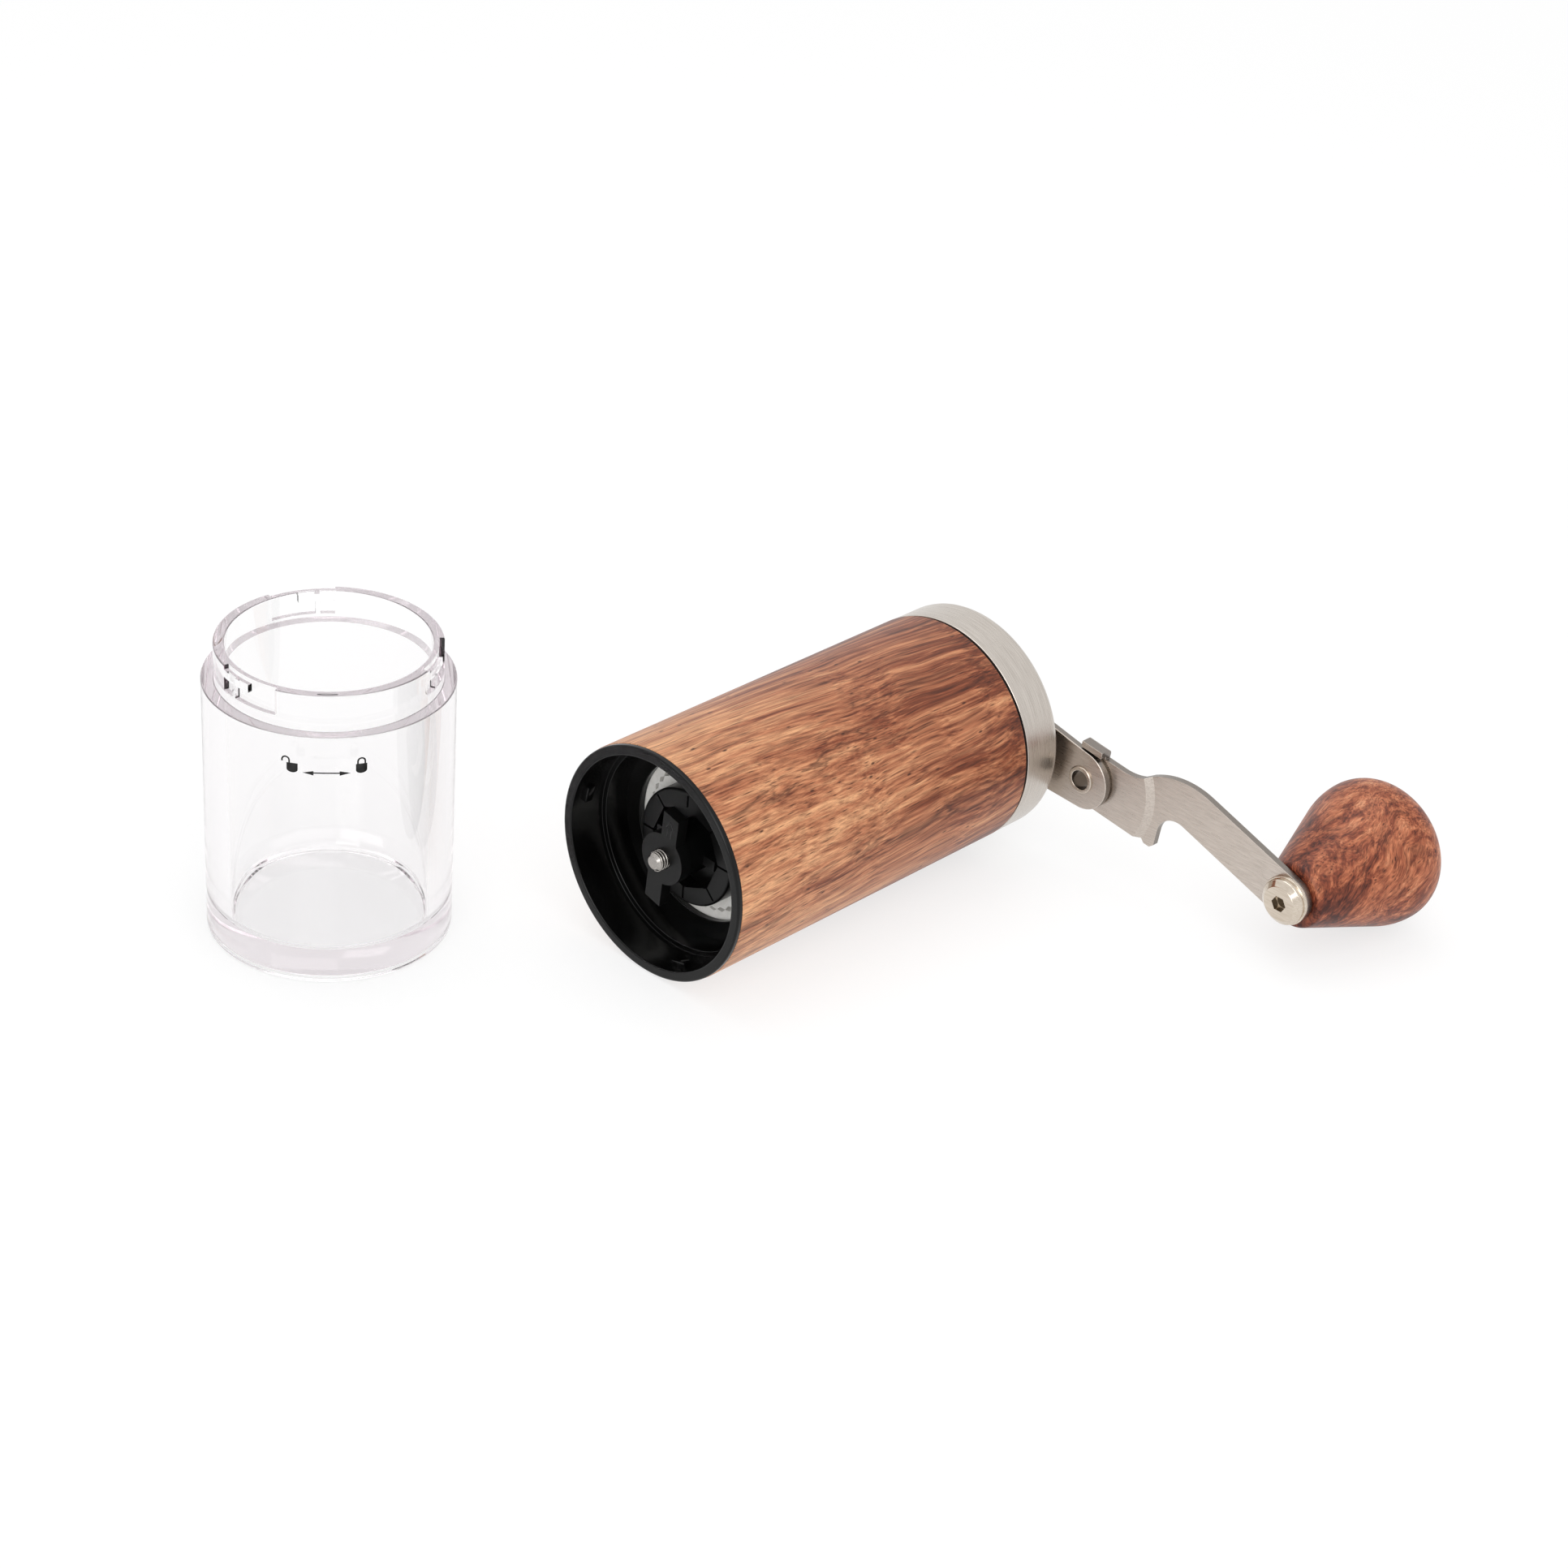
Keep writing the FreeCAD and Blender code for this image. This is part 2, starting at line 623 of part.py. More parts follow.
def coil_point(angle, rise):
    """A point of the spring's helix and its direction there."""
    height = SPRING_BOTTOM + WIRE_RADIUS + RUNNING_GAP + rise * angle
    point = Vector(SPRING_RADIUS * math.cos(angle), SPRING_RADIUS * math.sin(angle), height)
    way = Vector(-SPRING_RADIUS * math.sin(angle), SPRING_RADIUS * math.cos(angle), rise)
    return point, way.normalize()


def coil_gap(path):
    """The least clear distance between points of the wire that are over half a turn apart."""
    points = path.discretize(SPRING_TURNS * POINTS_PER_TURN + 1)
    apart = POINTS_PER_TURN // 2
    pairs = [(a, b) for i, a in enumerate(points) for b in points[i + apart:]]
    return min(a.distanceToPoint(b) for a, b in pairs) - 2 * WIRE_RADIUS


def burr_spring():
    quarter = math.pi / 2
    height = SPRING_SPACE - 2 * (WIRE_RADIUS + RUNNING_GAP)
    rise = height / (2 * math.pi * SPRING_TURNS)
    stations = [coil_point(quarter * i, rise) for i in range(4 * SPRING_TURNS + 1)]
    edges = []
    for (start, start_way), (end, end_way) in zip(stations, stations[1:]):
        edges += biarc(start, start_way, end, end_way)
    path = Part.Wire(edges)
    start, way = stations[0]
    circle = Part.Wire(Part.makeCircle(WIRE_RADIUS, start, way))
    print("spring: least gap to itself %.2f mm" % coil_gap(path))
    return path.makePipeShell([circle], True, False)


# Wing adjuster

def wing_nut_base():
    """Height of the nut's lower face inside the wing's boss."""
    return CONE_BASE - DIAL_FLOOR - RUNNING_GAP - NUT_HEIGHT


def adjuster_wing():
    arm_inner = WING_ARM_OFFSET - WING_ARM_WIDTH / 2
    arm_outer = WING_ARM_OFFSET + WING_ARM_WIDTH / 2
    back = WING_FACE + WING_THICKNESS
    boss_top = CONE_BASE - DIAL_FLOOR - RUNNING_GAP
    nose_reach = OCTAGON_RADIUS * math.cos(math.pi / OCTAGON_SIDES) - MOVING_GAP
    arm = prism([
        (-arm_outer, 0),
        (-arm_inner, 0),
        (-arm_inner, WING_REACH),
        (-arm_outer, WING_REACH - WING_END_SKEW),
    ], WING_FACE, back)
    nose = Part.makeBox(nose_reach, WING_NOSE_WIDTH, boss_top - DIAL_FACE,
                        Vector(0, -WING_NOSE_WIDTH / 2, DIAL_FACE))
    hub = disc(WING_HUB_RADIUS, WING_FACE, back)
    boss = disc(WING_BOSS_RADIUS, WING_FACE, boss_top)
    wing = hub.fuse([boss] + spun_copies(arm, 2) + spun_copies(nose, 2))
    bore = disc(STUD_RADIUS + MOVING_GAP, WING_FACE, boss_top)
    nut_pocket = hexagon(NUT_FLATS + 2 * SEAT_GAP, wing_nut_base(), boss_top)
    wing = wing.cut([bore, nut_pocket]).removeSplitter()
    return wing.rotate(CENTRE, AXIS, WING_TURN)


def adjuster_nut():
    base = wing_nut_base()
    nut = hexagon(NUT_FLATS, base, base + NUT_HEIGHT)
    nut = nut.cut(disc(STUD_RADIUS + RUNNING_GAP, base, base + NUT_HEIGHT))
    return nut.rotate(CENTRE, AXIS, WING_TURN)


# Lid

def lid_shell():
    base = BODY_LENGTH + SEAT_GAP
    outer = disc(LID_RADIUS, base, LID_TOP)
    outer = outer.makeFillet(LID_EDGE, edges_at(outer, LID_TOP, LID_RADIUS))
    inner = disc(LID_RADIUS - LID_SHEET, base, LID_TOP - LID_SHEET)
    inner = inner.makeFillet(LID_EDGE - LID_SHEET,
                             edges_at(inner, LID_TOP - LID_SHEET, LID_RADIUS - LID_SHEET))
    return outer.cut([inner, disc(LID_HOLE, base, LID_TOP)])


def seal_height():
    """Height of the seal ring's middle."""
    return SLEEVE_TOP - SEAL_DROP


def seal_centre():
    """Radius of the seal ring's middle line."""
    return LINER_BORE - SEAL_GAP - SEAL_RADIUS


def lid_insert():
    plug = LINER_BORE - PLUG_GAP
    hollow = plug - PLUG_WALL
    groove = seal_centre() - SEAL_RADIUS - SEAT_GAP
    groove_low = seal_height() - SEAL_RADIUS - SEAT_GAP
    groove_high = seal_height() + SEAL_RADIUS + SEAT_GAP
    seam = LID_RADIUS - LID_SEAM_STEP
    seam_base = SLEEVE_TOP + LID_STEP
    shell_bore = LID_RADIUS - LID_SHEET - SEAT_GAP
    roof = LID_TOP - LID_SHEET - SEAT_GAP
    ceiling = roof - INSERT_ROOF
    collar = LID_HOLE - SEAT_GAP
    guide = INSERT_BORE + INSERT_TUBE_WALL
    plug_end = SLEEVE_TOP - PLUG_LENGTH
    return turned([
        (plug, plug_end),
        (plug, groove_low),
        (groove, groove_low),
        (groove, groove_high),
        (plug, groove_high),
        (plug, seam_base),
        (seam, seam_base),
        (seam, BODY_LENGTH),
        (shell_bore, BODY_LENGTH),
        (shell_bore, roof - LID_EDGE),
        (shell_bore - LID_EDGE, roof),
        (collar, roof),
        (collar, LID_TOP),
        (INSERT_BORE, LID_TOP),
        (INSERT_BORE, LID_TOP - INSERT_TUBE_LENGTH),
        (guide, LID_TOP - INSERT_TUBE_LENGTH),
        (guide, ceiling),
        (hollow, ceiling),
        (hollow, plug_end),
    ])


def lid_seal():
    return Part.makeTorus(seal_centre(), SEAL_RADIUS, Vector(0, 0, seal_height()))


# Crank, drawn with the rivet along +x from the shaft. Outlines are drawn as seen from the mouth,
# so that y is turned over for the view from the lid.

def seen(x, y):
    """A point of an outline seen from the mouth, with the rivet at the origin."""
    return Vector(x, -y, 0)


def at_rivet(shape):
    """A shape drawn about the rivet, moved to its place on the crank."""
    shape.translate(Vector(RIVET_REACH, 0, 0))
    return shape


def crank_hub():
    base = LID_TOP + HUB_GAP
    top = BRACKET_TOP + BOSS_RISE
    boss = disc(BOSS_RADIUS, base, top)
    boss = boss.makeFillet(BOSS_EDGE, edges_at(boss, top, BOSS_RADIUS))
    flange = disc(HUB_FLANGE_RADIUS, base, BRACKET_BASE)
    socket = hexagon(HEX_FLATS + 2 * RUNNING_GAP, base, top - BOSS_ROOF)
    return boss.fuse(flange).cut(socket)


def crank_bracket():
    lean = math.asin((BRACKET_HUB_RADIUS - BRACKET_END_RADIUS) / RIVET_REACH)
    normal = Vector(math.sin(lean), math.cos(lean), 0)
    mirrored = Vector(normal.x, -normal.y, 0)
    rivet = Vector(RIVET_REACH, 0, 0)
    hub_top = normal * BRACKET_HUB_RADIUS
    hub_low = mirrored * BRACKET_HUB_RADIUS
    end_top = rivet + normal * BRACKET_END_RADIUS
    end_low = rivet + mirrored * BRACKET_END_RADIUS
    outline = Part.Wire([
        Part.makeLine(hub_top, end_top),
        Part.Arc(end_top, rivet + Vector(BRACKET_END_RADIUS, 0, 0), end_low).toShape(),
        Part.makeLine(end_low, hub_low),
        Part.Arc(hub_low, Vector(-BRACKET_HUB_RADIUS, 0, 0), hub_top).toShape(),
    ])
    plate = Part.Face(outline).extrude(Vector(0, 0, SHEET))
    plate.translate(Vector(0, 0, BRACKET_BASE))
    hub_hole = disc(BOSS_RADIUS + SEAT_GAP, BRACKET_BASE, BRACKET_TOP)
    rivet_hole = at_rivet(disc(RIVET_RADIUS + SEAT_GAP, BRACKET_BASE, BRACKET_TOP))
    return plate.cut([hub_hole, rivet_hole])


def hinge_rivet():
    low = BRACKET_BASE - RIVET_FLANGE
    arm_top = ARM_BASE + SHEET + RUNNING_GAP
    return at_rivet(turned([
        (RIVET_BORE, low),
        (RIVET_FLANGE_RADIUS, low),
        (RIVET_FLANGE_RADIUS, BRACKET_BASE),
        (RIVET_RADIUS, BRACKET_BASE),
        (RIVET_RADIUS, arm_top),
        (RIVET_FLANGE_RADIUS, arm_top),
        (RIVET_FLANGE_RADIUS, arm_top + RIVET_FLANGE),
        (RIVET_BORE, arm_top + RIVET_FLANGE),
    ]))


def hinge_washer():
    inner = RIVET_RADIUS + RUNNING_GAP
    return at_rivet(tube(HINGE_WASHER_RADIUS, inner, BRACKET_TOP, BRACKET_TOP + HINGE_WASHER))


def arm_outline():
    """The arm's flat outline: round hinge end, shoulder, hump, strap, round knob end, notch, lip."""
    fall = math.radians(STRAP_FALL)
    up = (math.sin(fall), math.cos(fall))
    along = (math.cos(fall), -math.sin(fall))
    half = STRAP_HALF_WIDTH

    def strap_line(x, offset):
        """Height of the strap's middle line at x, moved square to itself by an offset."""
        return KNOB_OFFSET + (KNOB_REACH - x) * math.tan(fall) + offset / math.cos(fall)

    hump_y = strap_line(HUMP_X, half - HUMP_RADIUS)
    shoulder_y = ARM_HALF_WIDTH + SHOULDER_RADIUS
    reach = SHOULDER_RADIUS + HUMP_RADIUS
    shoulder_x = HUMP_X - math.sqrt(reach ** 2 - (shoulder_y - hump_y) ** 2)
    blend = HUMP_RADIUS / reach
    meet = (HUMP_X + (shoulder_x - HUMP_X) * blend, hump_y + (shoulder_y - hump_y) * blend)
    shoulder_low = (shoulder_x, ARM_HALF_WIDTH)
    turn = math.atan2(meet[1] - shoulder_y, meet[0] - shoulder_x)
    half_turn = (turn - math.pi / 2) / 2
    shoulder_mid = (shoulder_x + SHOULDER_RADIUS * math.cos(half_turn),
                    shoulder_y + SHOULDER_RADIUS * math.sin(half_turn))
    hump_top = (HUMP_X, hump_y + HUMP_RADIUS)
    hump_end = (HUMP_X + HUMP_RADIUS * up[0], hump_y + HUMP_RADIUS * up[1])
    knob = (KNOB_REACH, KNOB_OFFSET)
    knob_high = (knob[0] + half * up[0], knob[1] + half * up[1])
    knob_tip = (knob[0] + half * along[0], knob[1] + half * along[1])
    knob_low = (knob[0] - half * up[0], knob[1] - half * up[1])
    notch_y = strap_line(NOTCH_X, -half - NOTCH_RADIUS)
    notch_start = (NOTCH_X + NOTCH_RADIUS * up[0], notch_y + NOTCH_RADIUS * up[1])
    notch_turn = math.pi * 0.75 - fall / 2
    notch_mid = (NOTCH_X + NOTCH_RADIUS * math.cos(notch_turn),
                 notch_y + NOTCH_RADIUS * math.sin(notch_turn))
    wall = NOTCH_X - NOTCH_RADIUS
    lip = -ARM_HALF_WIDTH - LIP_DROP
    lip_points = [
        (wall, notch_y),
        (wall, lip + LIP_CORNER),
        (wall - LIP_CORNER, lip),
        (wall - LIP_LENGTH, lip),
        (wall - LIP_LENGTH - LIP_DROP, -ARM_HALF_WIDTH),
        (0, -ARM_HALF_WIDTH),
    ]

    def line(start, end):
        return Part.makeLine(seen(*start), seen(*end))

    def arc(start, middle, end):
        return Part.Arc(seen(*start), seen(*middle), seen(*end)).toShape()

    edges = [
        arc((0, -ARM_HALF_WIDTH), (-ARM_HALF_WIDTH, 0), (0, ARM_HALF_WIDTH)),
        line((0, ARM_HALF_WIDTH), shoulder_low),
        arc(shoulder_low, shoulder_mid, meet),
        arc(meet, hump_top, hump_end),
        line(hump_end, knob_high),
        arc(knob_high, knob_tip, knob_low),
        line(knob_low, notch_start),
        arc(notch_start, notch_mid, lip_points[0]),
    ]
    edges += [line(start, end) for start, end in zip(lip_points, lip_points[1:])]
    return Part.Face(Part.Wire(edges))


def crank_arm():
    top = ARM_BASE + SHEET
    far = 2 * KNOB_REACH
    ramp_end = JOGGLE_RADIUS + JOGGLE_RUN
    ramp_shift = SHEET * JOGGLE_RISE / (JOGGLE_RUN + JOGGLE_RISE) / 2
    sheet = turned([
        (0, ARM_BASE),
        (JOGGLE_RADIUS, ARM_BASE),
        (ramp_end, ARM_BASE + JOGGLE_RISE),
        (far, ARM_BASE + JOGGLE_RISE),
        (far, ARM_TOP),
        (ramp_end - ramp_shift, ARM_TOP),
        (JOGGLE_RADIUS - ramp_shift, top),
        (0, top),
    ])
    outline = arm_outline().extrude(Vector(0, 0, 2 * (ARM_TOP - ARM_BASE)))
    outline.translate(Vector(0, 0, ARM_BASE - SHEET))
    arm = sheet.common(outline)
    tab_width = TAB_RIGHT - TAB_LEFT
    tab_outer = TAB_INNER + TAB_THICKNESS
    ear = Part.makeBox(tab_width, tab_outer, SHEET, Vector(TAB_LEFT, -tab_outer, ARM_BASE))
    tab = Part.makeBox(tab_width, TAB_THICKNESS, top - BRACKET_BASE - MOVING_GAP,
                       Vector(TAB_LEFT, -tab_outer, BRACKET_BASE + MOVING_GAP))
    hook = ear.fuse(tab).removeSplitter()
    bend = [edge for edge in hook.Edges
            if abs(edge.BoundBox.YMax + tab_outer) < 1e-3 and abs(edge.BoundBox.ZMin - top) < 1e-3]
    hook = hook.makeFillet(TAB_BEND, bend)
    rivet_hole = disc(RIVET_RADIUS + RUNNING_GAP, ARM_BASE - SHEET, ARM_TOP)
    knob_hole = disc(SCREW_SHANK + RUNNING_GAP, ARM_BASE - SHEET, ARM_TOP)
    knob_hole.translate(seen(KNOB_REACH, KNOB_OFFSET))
    return at_rivet(arm.fuse(hook).cut([rivet_hole, knob_hole]).removeSplitter())


# Knob

def at_knob(shape):
    """A shape drawn about the knob's axis, moved to the end of the arm."""
    shape.translate(seen(KNOB_REACH, KNOB_OFFSET))
    return at_rivet(shape)


def knob_insert_blank(gap):
    """The threaded insert's outside, or with a gap its hole in the knob."""
    return disc(INSERT_RADIUS + gap, KNOB_BASE, KNOB_BASE + INSERT_LENGTH + gap)


def knob():
    belly = Vector(0, 0, KNOB_BASE + KNOB_BELLY)
    neck = Vector(KNOB_NECK_RADIUS, 0, KNOB_BASE)
    foot = Vector(0, 0, KNOB_BASE)
    to_belly = math.hypot(KNOB_NECK_RADIUS, KNOB_BELLY)
    length = math.sqrt(to_belly ** 2 - KNOB_RADIUS ** 2)
    way = math.atan2(KNOB_BELLY, -KNOB_NECK_RADIUS) - math.asin(KNOB_RADIUS / to_belly)
    tangent = neck + Vector(length * math.cos(way), 0, length * math.sin(way))
    equator = belly + Vector(KNOB_RADIUS, 0, 0)
    half_way = math.atan2(tangent.z - belly.z, tangent.x) / 2
    belly_mid = belly + Vector(KNOB_RADIUS * math.cos(half_way), 0, KNOB_RADIUS * math.sin(half_way))
    crown = belly + Vector(0, 0, KNOB_DOME)
    across = KNOB_RADIUS - KNOB_SHOULDER
    crown_radius = (across ** 2 + KNOB_DOME ** 2 - KNOB_SHOULDER ** 2) / (2 * (KNOB_DOME - KNOB_SHOULDER))
    bend = math.atan2(crown_radius - KNOB_DOME, across)

    def shoulder_point(angle):
        """A point of the arc that turns the belly into the crown."""
        return belly + Vector(across + KNOB_SHOULDER * math.cos(angle), 0, KNOB_SHOULDER * math.sin(angle))

    def crown_point(angle):
        """A point of the flat crown's arc."""
        height = KNOB_DOME - crown_radius + crown_radius * math.sin(angle)
        return belly + Vector(crown_radius * math.cos(angle), 0, height)

    crown_mid = (bend + math.pi / 2) / 2
    outline = Part.Wire([
        Part.makeLine(foot, neck),
        Part.makeLine(neck, tangent),
        Part.Arc(tangent, belly_mid, equator).toShape(),
        Part.Arc(equator, shoulder_point(bend / 2), shoulder_point(bend)).toShape(),
        Part.Arc(shoulder_point(bend), crown_point(crown_mid), crown).toShape(),
        Part.makeLine(crown, foot),
    ])
    body = Part.Face(outline).revolve(CENTRE, AXIS, 360)
    body = body.makeFillet(KNOB_NECK_EDGE, edges_at(body, KNOB_BASE, KNOB_NECK_RADIUS))
    return at_knob(body.cut(knob_insert_blank(SEAT_GAP)))


def knob_insert():
    bore = disc(SCREW_THREAD + SEAT_GAP, KNOB_BASE, KNOB_BASE + INSERT_LENGTH)
    return at_knob(knob_insert_blank(0).cut(bore))


def knob_screw():
    seat = ARM_TOP - SHEET - RUNNING_GAP
    face = seat - SCREW_HEIGHT
    rim = seat - SCREW_RIM
    screw = turned([
        (0, face),
        (SCREW_FACE, face),
        (SCREW_HEAD - SCREW_STEP, rim - SCREW_RIM),
        (SCREW_HEAD - SCREW_STEP, rim),
        (SCREW_HEAD, rim),
        (SCREW_HEAD, seat),
        (SCREW_SHANK, seat),
        (SCREW_SHANK, KNOB_BASE),
        (SCREW_THREAD, KNOB_BASE),
        (SCREW_THREAD, KNOB_BASE + SCREW_REACH),
        (0, KNOB_BASE + SCREW_REACH),
    ])
    return at_knob(screw.cut(hexagon(SOCKET_FLATS, face, face + SOCKET_SUNK)))


# Jar

def jar_recess(start):
    """The cuts of one bayonet recess, which leave its tab and its stop post standing."""
    inner = NECK_RADIUS - RECESS_DEPTH
    outer = NECK_RADIUS + CUT_MARGIN
    floor = JAR_SHOULDER + RECESS_FLOOR
    top = JAR_SHOULDER + NECK_HEIGHT + CUT_MARGIN
    under_tab = JAR_SHOULDER + TAB_BOTTOM
    over_tab = JAR_SHOULDER + TAB_TOP
    post_end = POST_START + POST_SWEEP
    return [
        sector(inner, outer, floor, top, start + TAB_SWEEP, RECESS_SWEEP - TAB_SWEEP),
        sector(inner, outer, floor, under_tab, start, POST_START),
        sector(inner, outer, floor, under_tab, start + post_end, TAB_SWEEP - post_end),
        sector(inner, outer, over_tab, top, start, TAB_SWEEP),
    ]


def jar():
    foot = BODY_RADIUS - JAR_DRAFT
    rim = JAR_SHOULDER + NECK_HEIGHT
    bore = NECK_RADIUS - NECK_WALL
    floor_bore = bore - JAR_BORE_DRAFT
    glass = turned([
        (0, 0),
        (foot - JAR_FOOT_BEVEL, 0),
        (foot, JAR_FOOT_BEVEL),
        (BODY_RADIUS, JAR_SHOULDER),
        (NECK_RADIUS, JAR_SHOULDER),
        (NECK_RADIUS, rim - NECK_EDGE),
        (NECK_RADIUS - NECK_EDGE, rim),
        (bore + NECK_EDGE, rim),
        (bore, rim - NECK_EDGE),
        (floor_bore, JAR_FLOOR),
        (0, JAR_FLOOR),
    ])
    glass = glass.makeFillet(JAR_FLOOR_FILLET, edges_at(glass, JAR_FLOOR, floor_bore))
    cuts = []
    for i in range(LUG_COUNT):
        cuts += jar_recess(RECESS_CENTRE - RECESS_SWEEP / 2 + 360.0 * i / LUG_COUNT)
    return glass.cut(cuts)


# Assembly

def crank_turn():
    """Angle of the crank that rests its knob on the table, in the upright grinder's plan."""
    across = RIVET_REACH + KNOB_REACH
    reach = math.hypot(across, KNOB_OFFSET)
    drop = BODY_RADIUS - KNOB_RADIUS - KNOB_TABLE_GAP
    return 180.0 + math.degrees(math.asin(drop / reach) + math.atan2(KNOB_OFFSET, across))


BODY_PIECES = [
    wood_sleeve, mouth_ring, hopper_tube, burr_carrier, outer_burr, burr_bridge, lower_bush,
    top_bridge, upper_bush, drive_shaft, thrust_washer, shaft_circlip, inner_burr, burr_dial,
    spring_washer, burr_spring, adjuster_wing, adjuster_nut, lid_shell, lid_insert, lid_seal,
]
CRANK_PIECES = [
    crank_hub, crank_bracket, hinge_rivet, hinge_washer, crank_arm, knob, knob_insert, knob_screw,
]
LAID_DOWN = FreeCAD.Placement(Vector(MOUTH_X, AXIS_Y, BODY_RADIUS),
                              FreeCAD.Rotation(Vector(1, 1, 1), 120))
TURNED_CRANK = FreeCAD.Placement(CENTRE, FreeCAD.Rotation(AXIS, crank_turn()))


def place(shape, placement):
    """A copy of a shape moved by a placement."""
    return shape.transformed(placement.toMatrix(), True)


def build():
    """Every piece in its place, by node name."""
    nodes = {"jar": jar()}
    for piece in BODY_PIECES:
        nodes[piece.__name__] = place(piece(), LAID_DOWN)
    for piece in CRANK_PIECES:
        nodes[piece.__name__] = place(piece(), LAID_DOWN.multiply(TURNED_CRANK))
    return nodes


os.makedirs("parts", exist_ok=True)
for name, shape in build().items():
    shape.exportStep("parts/%s.step" % name)
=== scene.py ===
# %% [markdown]
# # A hand coffee grinder and its jar
# The grinder lies on its side with the crank unfolded, and its clear jar stands beside it. The
# shapes were drawn in CAD, so this script loads them as a fixed frame, gives the pieces that show
# finer edges and real finishes, and sets the camera where the picture was taken from. The pieces
# could be modelled from nothing, but then they could drift away from the solids that move.

# %% Load the frame
import json
import math

import bmesh
import bpy
from mathutils import Matrix, Vector


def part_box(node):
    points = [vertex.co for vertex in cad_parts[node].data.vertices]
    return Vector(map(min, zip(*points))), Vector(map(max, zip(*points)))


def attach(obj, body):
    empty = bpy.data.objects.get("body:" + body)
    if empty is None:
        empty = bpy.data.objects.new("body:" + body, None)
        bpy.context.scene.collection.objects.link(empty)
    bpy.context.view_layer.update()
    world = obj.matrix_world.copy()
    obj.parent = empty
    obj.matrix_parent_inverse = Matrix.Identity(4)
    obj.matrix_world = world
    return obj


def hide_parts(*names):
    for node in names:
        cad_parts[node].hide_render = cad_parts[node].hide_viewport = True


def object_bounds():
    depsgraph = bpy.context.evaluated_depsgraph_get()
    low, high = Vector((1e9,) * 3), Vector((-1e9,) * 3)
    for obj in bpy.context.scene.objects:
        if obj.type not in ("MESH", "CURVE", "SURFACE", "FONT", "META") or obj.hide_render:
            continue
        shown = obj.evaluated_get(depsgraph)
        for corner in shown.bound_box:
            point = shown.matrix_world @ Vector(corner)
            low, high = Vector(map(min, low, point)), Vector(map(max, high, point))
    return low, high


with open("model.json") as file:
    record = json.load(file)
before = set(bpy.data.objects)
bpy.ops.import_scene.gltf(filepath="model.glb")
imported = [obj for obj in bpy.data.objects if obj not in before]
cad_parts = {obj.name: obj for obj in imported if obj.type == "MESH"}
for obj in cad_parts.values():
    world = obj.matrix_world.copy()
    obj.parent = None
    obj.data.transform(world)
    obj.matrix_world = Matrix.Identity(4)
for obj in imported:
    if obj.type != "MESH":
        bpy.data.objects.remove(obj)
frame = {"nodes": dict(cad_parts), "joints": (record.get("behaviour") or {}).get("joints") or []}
NODES = frame["nodes"]
JOINTS = {joint["name"]: joint for joint in frame["joints"]}
cad_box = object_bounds()
MM = 0.001

# %% [markdown]
# ## Places to measure from
# Every place comes from the frame: the joints give the axes of the grinder, the hinge rivet and the
# knob, and a solid's box gives its ends and its radius. Numbers typed in by hand would work until
# the CAD changes. Lengths below are written in millimetres, because that is how a maker thinks.

# %% Axes, ends and radii
BODY_AXIS = Vector(JOINTS["crank_turn"]["pos_m"])
KNOB_AXIS = Vector(JOINTS["knob_spin"]["pos_m"])
RIVET_AXIS = Vector(JOINTS["handle_fold"]["pos_m"])
LID_WAY = Vector((1, 0, 0))
UP = Vector((0, 0, 1))


def reach(node):
    """Where a solid starts and ends along the grinder, in mm from the mouth."""
    low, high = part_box(node)
    return (low.x - BODY_AXIS.x) / MM, (high.x - BODY_AXIS.x) / MM


def radius(node):
    """Half of a round solid's width across the grinder, in mm."""
    low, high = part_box(node)
    return (high.y - low.y) / 2 / MM


BODY_RADIUS = radius("wood_sleeve")
sleeve_start, sleeve_end = reach("wood_sleeve")
lid_start, lid_end = reach("lid_shell")
JAR_RADIUS = radius("jar")
JAR_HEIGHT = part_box("jar")[1].z / MM
print("body radius %.2f mm, lid end %.2f mm, jar %.1f mm tall" % (BODY_RADIUS, lid_end, JAR_HEIGHT))

# %% [markdown]
# ## Colours and shader nodes
# Colours are written as sRGB hex values, as a paint program shows them, but Blender mixes light in
# linear values, so one function converts them. Another adds a node with its settings, values and
# links in one call, which keeps a material readable from top to bottom. What is the same all over a
# surface is set on the shader's own sockets.

# %% Colours and shader nodes
WHITE = "#FFFFFF"
# A Mix node numbers its sockets: these take two numbers, two colours, and give the mixed colour.
NUMBER_A, NUMBER_B, COLOUR_A, COLOUR_B, COLOUR_OUT = 2, 3, 6, 7, 2


def colour(text):
    """A linear colour from an sRGB hex value such as #C1896A."""
    channels = [int(text[i:i + 2], 16) / 255 for i in (1, 3, 5)]
    linear = [c / 12.92 if c <= 0.04045 else ((c + 0.055) / 1.055) ** 2.4 for c in channels]
    return (*linear, 1.0)


def add(tree, kind, inputs=None, stops=None, **settings):
    """Adds a node: settings by name, inputs as values or links, and the stops of a colour ramp."""
    node = tree.nodes.new(kind)
    for key, value in settings.items():
        setattr(node, key, value)
    for key, value in (inputs or {}).items():
        if isinstance(value, bpy.types.NodeSocket):
            tree.links.new(value, node.inputs[key])
        else:
            node.inputs[key].default_value = value
    if stops:
        elements = node.color_ramp.elements
        while len(elements) < len(stops):
            elements.new(0.5)
        for element, (place, shade) in zip(elements, stops):
            element.position = place
            element.color = colour(shade)
    return node


def finish_named(name, **values):
    """A new material and its shader, with constant values set on the shader's own sockets."""
    material = bpy.data.materials.new(name)
    material.use_nodes = True
    shader = material.node_tree.nodes["Principled BSDF"]
    for key, value in values.items():
        shader.inputs[key.replace("_", " ")].default_value = value
    return material, material.node_tree, shader


print("white in linear light:", colour(WHITE))

